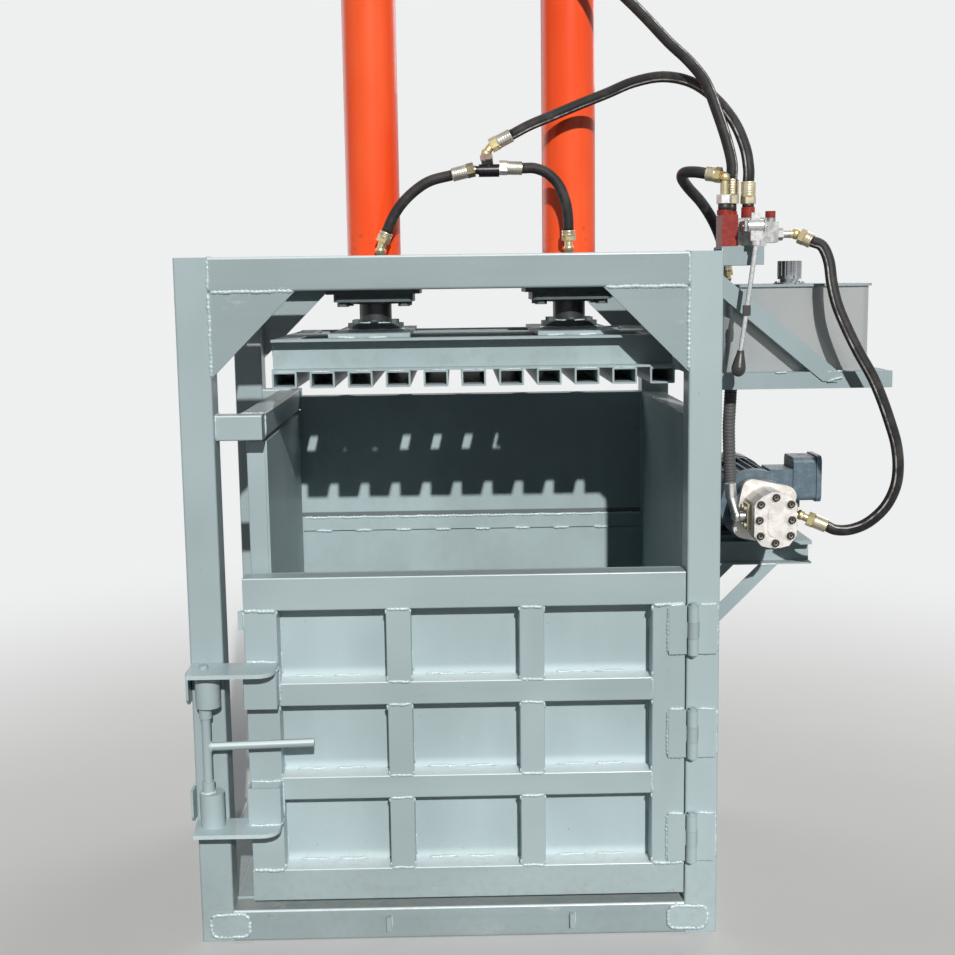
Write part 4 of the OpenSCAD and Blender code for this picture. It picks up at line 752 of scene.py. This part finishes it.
# %% Beads on the frame
front, back = -447.5, 447.5
post, beam_low, beam_top, gusset = 560, 1600, 1680, 196
top_seam = beam_top - 1
patch_x, patch_y, patch_z = 568, -452, 42
patch = [(48, 13), (48, -13), (43, -24), (32, -29), (-32, -29), (-43, -24), (-48, -13), (-48, 13),
         (-43, 24), (-32, 29), (32, 29), (43, 24), (48, 13)]
rib_heights, rib_half, rib_edge = (150, 400, 662, 896, 1080, 1258), 26, 30
right_wall_x, back_wall_y, liner_y, corner_x = 566.5, 369.5, 354, 559
for side in (-1, 1):
    for y in (front, back):
        along_z("frame", side * post, y, beam_top - 5, beam_low + 4, width=9)
        along_z("frame", side * post, y, beam_low - 4, beam_low - gusset, width=9.5, lump=0.3)
        along_x("frame", side * (post - 4), side * (post - gusset), y, beam_low, width=10, lump=0.3)
        along_z("frame", side * post, y, 76, 6, width=6)
    for y, far_y in ((-410, 369.82), (410, -369.82)):
        along_y("frame", side * post, y - 34, y + 34, top_seam, width=6)
        along_x("frame", side * (post + 6), side * (post + 74), far_y, top_seam, width=6)
        along_z("frame", side * (post + 78), far_y, beam_top - 6, beam_low + 6, width=6)
    for y in (-155, -75, 75, 155):
        along_z("frame", side * post, y, beam_top - 8, beam_low + 8, width=6)
    for y in (-115, 115):
        along_y("frame", side * post, y - 34, y + 34, top_seam, width=6)
    corners = [(side * patch_x + px, patch_y, patch_z + pz) for px, pz in patch]
    bead("frame", *corners, width=10, lump=0.34)
for lug in (-175, 280):
    for dx in (-6.5, 6.5):
        along_z("frame", lug + dx, -451, 28, 60, width=5)
for y, stub_y, rail_y in ((-430, -370.23, -399.9), (430, 370.23, 399.9)):
    along_z("frame", -559, y, 1254, 1306, width=6)
    along_x("frame", -508, -452, stub_y, 1309.5, width=6)
    along_z("frame", -450, stub_y, 1254, 1306, width=6)
    along_y("frame", -559, rail_y - 24, rail_y + 24, 1310, width=6)
for z in rib_heights:
    for y in (-369, 369):
        along_z("frame", 624, y, z - rib_half, z + rib_half, width=5)
    rib_left = -559 if z < 1200 else -449
    for x in (corner_x, rib_left):
        along_z("frame", x, 427, z - rib_half, z + rib_half, width=5)
    top = z + rib_edge
    stitches("frame", (right_wall_x, -330, top), (right_wall_x, 330, top), 45, 150, width=5)
    stitches("frame", (-520, back_wall_y, top), (540, back_wall_y, top), 45, 170, width=5)
along_x("frame", -448, 558, 357, 926.5, width=8)
stitches("frame", (-430, liner_y + 0.5, 887), (550, liner_y + 0.5, 887), 46, 118, width=8, lump=0.35)
stitches("frame", (-440, liner_y, 87.5), (556, liner_y, 87.5), 60, 160, width=6)
along_z("frame", corner_x, 362, 930, 1284, width=5)
for z in range(110, 900, 150):
    along_z("frame", corner_x, liner_y, z, z + 60, width=5)
print("frame beads so far", len(bead_parts["frame"][0]), "points")

# %% [markdown]
# The power unit's shelves, the hinge leaves on the post, the keepers of the latch and the side
# door's hinges are tacked on with shorter beads.

# %% Beads on shelves, leaves and keepers
leaf_heights, side_leaf_heights = (252, 518, 778), (250, 660, 1080)
leaf_y, keeper_x, shelf_front, shelf_side = -451, -641, -380.5, 640.8
for z in leaf_heights:
    along_z("frame", 633.5, leaf_y, z - 58, z + 58, width=10, lump=0.3)
    along_x("frame", 590, 632, leaf_y, z + 60, width=9, lump=0.3)
    along_x("frame", 590, 632, leaf_y, z - 60, width=7)
for low in (326.05, 619.5):
    along_z("frame", keeper_x, -405, low + 4, low + 76, width=6)
    for z in (low, low + 80):
        along_y("frame", keeper_x, -447, -408, z, width=6)
for z in side_leaf_heights:
    along_z("frame", -558.5, 354.5, z - 56, z + 56, width=6)
    for s in (-60, 60):
        along_x("frame", -556, -536, 354.5, z + s, width=5)
for y in (-380, -340):
    along_z("frame", shelf_side, y - 1, 1354, 1388, width=5)
along_z("frame", shelf_side, -384.5, 1580, 1624, width=6)
bead("frame", (906, -385, 1366), (942, -385, 1378), width=7, lump=0.35)
along_x("frame", 900, 950, -381, 1391, width=6, lump=0.35)
for y in (-130, 190):
    along_z("frame", 626, y, 870, 918, width=6)
for y in (-130, 150):
    along_x("frame", 805, 852, y + 1, 865.5, width=6)
    along_z("frame", 626, y + 1, 640, 684, width=6)
for y in (-420, -320):
    along_z("frame", 641, y, 1649, 1686, width=5)
stitches("frame", (650, shelf_front, 1390), (1040, shelf_front, 1390), 30, 118, width=5)
stitches("frame", (1020, -300, 1391), (1020, 220, 1391), 40, 150, width=5)
print("frame beads in all", len(bead_parts["frame"][0]), "points")

# %% [markdown]
# The door: each rail is welded to its stiles, each upright to its rails, and the sheet behind is
# stitched along the rails. Short uneven runs of weld climb out of the corners of the nine panels.

# %% Beads on the front door
door_left, door_right, door_low, door_top = -508, 557, 105, 920
stile, end_rail, mullion, rail, bays = 80, 80, 60, 57, 3
door_face, sheet_face = -449, -391.5
bay_w = (door_right - door_left - 2 * stile - 2 * mullion) / bays
bay_h = (door_top - door_low - 2 * end_rail - 2 * rail) / bays
cols = [door_left + stile + i * (bay_w + mullion) for i in range(bays)]
rows = [door_low + end_rail + i * (bay_h + rail) for i in range(bays)]
for x in (door_left + stile, door_right - stile):
    for low, high in ((rows[0] + bay_h, rows[1]), (rows[1] + bay_h, rows[2])):
        along_z("front_door", x, door_face, low + 3, high - 3, width=6)
for left in (door_left, door_right - stile):
    for z in (door_low + end_rail, door_top - end_rail):
        along_x("front_door", left + 2, left + 78, door_face - 0.5, z, width=10, lump=0.32)
for left in (cols[0] + bay_w, cols[1] + bay_w):
    for low in rows:
        for z in (low, low + bay_h):
            along_x("front_door", left + 2, left + 58, door_face, z, width=8)
for left in cols:
    right = left + bay_w
    for low in rows:
        high = low + bay_h
        for x, z in ((left, low), (right, low), (left, high), (right, high)):
            rise = 1 if z == low else -1
            along_z("front_door", x, -448, z + rise, z + rise * dice.uniform(9, 16), width=7, lump=0.3)
        stitches("front_door", (left + 6, sheet_face, low + 1.5), (right - 6, sheet_face, low + 1.5),
                 70, 96, width=7, lump=0.35)
        stitches("front_door", (left + 6, sheet_face, high - 1), (right - 6, sheet_face, high - 1),
                 40, 110, width=5)
        along_z("front_door", left + 1, sheet_face, low + 10, low + 62, width=5)
        along_z("front_door", right - 1, sheet_face, high - 70, high - 14, width=5)
for z in leaf_heights:
    along_z("front_door", 516, leaf_y, z - 58, z + 58, width=10, lump=0.3)
    for s in (-60, 60):
        along_x("front_door", 518, 555, leaf_y, z + s, width=10, lump=0.32)
along_x("front_door", -515, -509, -441, 841.5, width=5)
along_z("front_door", -508.5, door_face, 797, 839, width=5)
print("front door beads so far", len(bead_parts["front_door"][0]), "points")

# %% [markdown]
# The latch is the roughest work on the machine: thick arms and blocks welded all round, eccentric
# barrels on a shaft, and a handle stuck on with one fat ring of weld. The lower block stands on its
# arm and the upper block hangs under its own, so each has a joined edge and a free one.

# %% Beads on the latch
shaft_x, shaft_y = -600, -494
for seam_start, seam_end, low, high, free, joined in ((322.5, 311.5, 322, 414, 414, 322),
                                                      (714.5, 714.5, 612, 704, 612, 704)):
    bead("front_door", (-506, leaf_y, seam_start), (-432, leaf_y, seam_end), width=8, lump=0.3)
    for x in (-507.5, -426.5):
        along_z("front_door", x, leaf_y, low + 3, high - 3, width=7, lump=0.3)
    along_x("front_door", -504, -430, leaf_y, free, width=7, lump=0.3)
    along_x("front_door", -505, -429, -500.5, joined, width=7, lump=0.3)
    for x in (-508, -426):
        along_y("front_door", x, -497, -455, joined, width=6)
for z in (406.5, 619):
    ring_bead("latch", (shaft_x, shaft_y, z), 14.5, width=6)
ring_bead("latch", (shaft_x + 9.5, shaft_y, 520.3), 9.5, "x", width=7)
bead("front_door", (-637.5, -458, 311.5), (-630, -530, 311.5), width=3)
print("latch beads", len(bead_parts["latch"][0]), "points")

# %% [markdown]
# Platen and side door: the tubes are tacked to the channels from both sides, the round flanges at
# the rods are welded all round to their pads.

# %% Beads on the platen and the side door
tube_count, platen_left, platen_wide, tube_wide = 11, -433, 976, 60
pitch = (platen_wide - tube_wide) / (tube_count - 1)
for i in range(tube_count):
    middle = platen_left + tube_wide / 2 + i * pitch
    for y in (-349, 349):
        along_x("platen", middle - 26, middle + 26, y, 1406, width=4, lump=0.3)
for rod_x in (-199, 315):
    ring_bead("platen", (rod_x, 0, 1494.5), 74.5, width=7)
    ring_bead("platen", (rod_x, 0, 1512.5), 43.5, width=5)
    for y in (-300.5, 300.5):
        stitches("platen", (rod_x - 98, y, 1485), (rod_x + 98, y, 1485), 46, 78, width=6)
    for x in (rod_x - 100.5, rod_x + 100.5):
        for y in (-95, 60):
            along_y("platen", x, y, y + 35, 1485, width=6)
for x in (platen_left, platen_left + platen_wide):
    for y in (-305, 305):
        along_z("platen", x, y, 1412, 1478, width=5)
for y in (-343, 324):
    stitches("side_door", (-456, y, 120), (-456, y, 1230), 40, 170, width=4)
for z in (128, 330, 560, 790, 1015, 1220):
    for y in (-315, 296):
        along_z("side_door", -499.5, y, z - 18, z + 18, width=5)
for z in side_leaf_heights:
    along_z("side_door", -500, 344, z - 17, z + 17, width=5)

for body, (points, faces) in bead_parts.items():
    piece = new_piece(f"welds_{body}", points, faces, bead_paint_highlit)
    for face in piece.data.polygons:
        face.use_smooth = True
    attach(piece, body)
    print(piece.name, len(points), "points")

# %% [markdown]
# The pump's cover bolts are blackened socket screws. CAD gives their places. A hollow head on a
# raised, machined spot face makes each one read as a screw; both are turned on the same small lathe,
# from a profile of radius and height.

# %% Socket screws on the pump
round_from = 9


def lathe(name, profile, sides, coat, place, turn):
    points = [(r * math.cos(2 * math.pi * k / sides), r * math.sin(2 * math.pi * k / sides), h)
              for r, h in profile for k in range(sides)]
    piece = new_piece(name, points, tube_faces(len(profile), sides), coat)
    for face in piece.data.polygons:
        face.use_smooth = len(face.vertices) == 4 and sides >= round_from
    piece.matrix_world = Matrix.Translation(place) @ turn
    return piece


to_front = Matrix.Rotation(math.radians(90), 4, "X")
pump_x, pump_z, screw_y, boss_y = 0.789, 1.028, -0.3746, -0.3752
head = [(0.0092, 0.0), (0.0092, 0.0062), (0.0084, 0.0070), (0.0048, 0.0070), (0.0046, 0.0030),
        (0.0002, 0.0030)]
spot_face = [(0.0128, -0.0010), (0.0128, 0.0012), (0.0121, 0.0017), (0.0110, 0.0017),
             (0.0103, 0.0010), (0.0085, 0.0010)]
screws = [(0, 56), (0, -57), (40, 0), (-40, 0), (37, 39), (-37, 39), (37, -39), (-37, -39)]
for k, (dx, dz) in enumerate(screws):
    x, z = pump_x + dx / mm_per_m, pump_z + dz / mm_per_m
    screw = lathe(f"pump_screw_{k}", head, 20, dark_bolt, (x, screw_y, z), to_front)
    soften(screw, 0.0004)
    boss = lathe(f"pump_boss_{k}", spot_face, 28, cast_alloy, (x, boss_y, z), to_front)
    for part, slot in ((screw, "bright_steel"), (boss, "pump_alloy")):
        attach(part, "frame")
print(len(screws), "socket screws")

# %% [markdown]
# A ferrule is a steel sleeve squeezed onto the hose, so it keeps a row of shallow grooves. CAD has
# the plain sleeve; a thin lathed skin over it brings the grooves, the rolled mouth and the plating,
# silver at the tees and straw elsewhere. Each hose end has its own sleeve length, the same as in CAD.

# %% Crimped sleeves
bore, groove, crest = 0.0150, 0.0171, 0.0174
groove_pitch, plain_ends = 0.0062, 0.010


def sleeve_profile(length):
    mouth = [(bore, 0.0006), (groove, 0.0006), (crest, 0.0022)]
    count = max(2, round((length - plain_ends) / groove_pitch))
    grooves = []
    for k in range(count):
        base = 0.0045 + k * (length - plain_ends) / count
        grooves += [(crest, base), (groove, base + 0.0013), (groove, base + 0.0029), (crest, base + 0.0042)]
    return mouth + grooves + [(crest, length - 0.0016), (0.0168, length - 0.0006), (bore, length - 0.0006)]


sleeves = {"left": (18, 40), "right": (40, 16), "long": (40, 38), "high": (40, 40), "cap_left": (34, 34),
           "cap_right": (34, 34), "return": (24, 24), "pressure": (20, 36)}
tee_ends = {("left", 1), ("right", 0), ("long", 0), ("high", 1), ("cap_left", 0), ("cap_right", 0)}
made = 0
for name, lengths in sleeves.items():
    points = routes[name]
    for which, (end, beside) in enumerate(((points[0], points[1]), (points[-1], points[-2]))):
        ahead = (Vector(end) - Vector(beside)).normalized()
        turn = ahead.to_track_quat("Z", "Y").to_matrix().to_4x4()
        coat = pale_zinc if (name, which) in tee_ends else straw_zinc
        profile = sleeve_profile(lengths[which] / mm_per_m)
        part = lathe(f"sleeve_{made}", profile, 28, coat, Vector(end) / mm_per_m, turn)
        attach(part, "frame")
        made += 1
print(made, "crimped sleeves")

# %% [markdown]
# The branch of the lower tee is closed by two hexagons, a black one of the tee itself and above it
# the brown nut of the elbow. The valve's three upper ports have black collars, and the one of the
# return hose a nut as well. Six sides on the same lathe make a hexagon, its corners broken top and
# bottom; 24 make a collar.

# %% Nuts and collars on the lower tee and the valve
upright = Matrix.Identity(4)
hexagon, collar, chamfer = 6, 24, 0.0012


def ring_piece(name, sides, coat, place, tall, radius, turn=upright):
    inner = radius * 0.9
    broken = [(inner, 0.0), (radius, chamfer), (radius, tall - chamfer), (inner, tall)]
    piece = lathe(name, broken, sides, coat, place, turn)
    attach(piece, "frame")


branch_low, branch_high = Vector((0.1020, -0.115, 1.901)), Vector((0.0960, -0.115, 1.937))
lean = (branch_high - branch_low).to_track_quat("Z", "Y").to_matrix().to_4x4()
ring_piece("tee_hexagon", hexagon, dark_bolt, branch_low.lerp(branch_high, 0.22), 0.0115, 0.0168, lean)
ring_piece("tee_nut", hexagon, brown_nut, branch_low.lerp(branch_high, 0.54), 0.0145, 0.0182, lean)
return_port, long_port, high_port = (0.653, -0.376), (0.711, -0.370), (0.676, -0.346)
ring_piece("valve_nut", hexagon, yellow_zinc, (*return_port, 1.7900), 0.0220, 0.0185)
ring_piece("valve_collar_0", collar, dark_bolt, (*return_port, 1.7765), 0.0135, 0.0145)
ring_piece("valve_collar_1", collar, dark_bolt, (*long_port, 1.7825), 0.0075, 0.0140)
ring_piece("valve_collar_2", collar, dark_bolt, (*high_port, 1.7745), 0.0172, 0.0125)
print("three hexagons and three collars")

# %% [markdown]
# A plain pale floor and soft light. The floor is staged, so it isn't part of the machine. One small
# sun stands behind the viewer and a little to the right, which is where the light came from when the
# machine was looked at, so the platen's tubes draw their teeth of shade on the back wall. Three wide
# area lamps and a dim sky open the shadows, two of the lamps for the rear. Away from the machine the
# floor turns into the same white as the backdrop, so there is no horizon. That white is only seen,
# by the camera or in a reflection: the Light Path node takes it away from every ray that would carry
# its light to the machine. It also makes the floor darker for those rays, which keeps the shade
# under the rails and beams deep.

# %% Floor, light and background
white, black, floor_seen_by_light = (0.86, 0.865, 0.87), (0.0, 0.0, 0.0), (0.30, 0.30, 0.30)
sky_tint, sky_strength = (0.92, 0.96, 1.0), 0.075
floor_left, floor_right, floor_near, floor_far, floor_z = -14, 14, -9, 30, -0.0006
fade_start, fade_end = 0.9, 4.6
floor = Finish("floor")
spot = floor.node("ShaderNodeTexCoord", out="Object")
distance = floor.node("ShaderNodeVectorMath", {"operation": "LENGTH"}, {0: spot}, out="Value")
away = floor.step(distance, fade_start, fade_end)
looked_at = floor.looked_at()
grain = floor.blend(floor.noise(1.4, 3), (0.66, 0.66, 0.655), (0.72, 0.72, 0.715))
grain = floor.blend(looked_at, floor_seen_by_light, grain)
floor.set(Base_Color=floor.blend(away, grain, black), Roughness=0.8, Specular_IOR_Level=0.0,
          Emission_Color=floor.blend(away * looked_at, black, white), Emission_Strength=1.0)
ground = new_piece("floor", [(floor_left, floor_near, floor_z), (floor_right, floor_near, floor_z),
                             (floor_right, floor_far, floor_z), (floor_left, floor_far, floor_z)],
                   [(0, 1, 2, 3)], floor.material)


def lamp(name, kind, place, target, power, tint, **shape):
    light = bpy.data.lights.new(name, kind)
    light.energy, light.color = power, tint
    for key, value in shape.items():
        setattr(light, key, value)
    thing = bpy.data.objects.new(name, light)
    bpy.context.collection.objects.link(thing)
    thing.location = place
    thing.rotation_euler = (Vector(target) - Vector(place)).to_track_quat("-Z", "Y").to_euler()


lamp("key", "SUN", (0.9, -6.0, 4.2), (0.1, 0, 1.0), 3.35, (1.0, 0.985, 0.955), angle=math.radians(0.9))
lamp("fill", "AREA", (4.6, -4.6, 3.2), (0, 0, 1.0), 22, (0.93, 0.97, 1.0), size=4.0)
lamp("edge", "AREA", (3.5, 5.0, 4.6), (0, 0, 1.4), 110, (1.0, 1.0, 1.0), size=3.5)
lamp("rear", "AREA", (-4.4, 4.2, 3.0), (0, 0, 1.0), 80, (0.96, 0.98, 1.0), size=4.0)

world = bpy.data.worlds.new("studio")
bpy.context.scene.world = world
world.use_nodes = True
world.node_tree.nodes.clear()
sky = Graph(world.node_tree)
lit = sky.node("ShaderNodeBackground", {}, {"Color": sky_tint, "Strength": sky_strength})
seen = sky.node("ShaderNodeBackground", {}, {"Color": white, "Strength": 1.0})
mixed = sky.node("ShaderNodeMixShader", {}, {0: sky.looked_at(), 1: lit, 2: seen})
sky.feed(world.node_tree.nodes.new("ShaderNodeOutputWorld").inputs["Surface"], mixed)

bpy.context.scene.view_settings.view_transform = "Standard"
print("studio set")
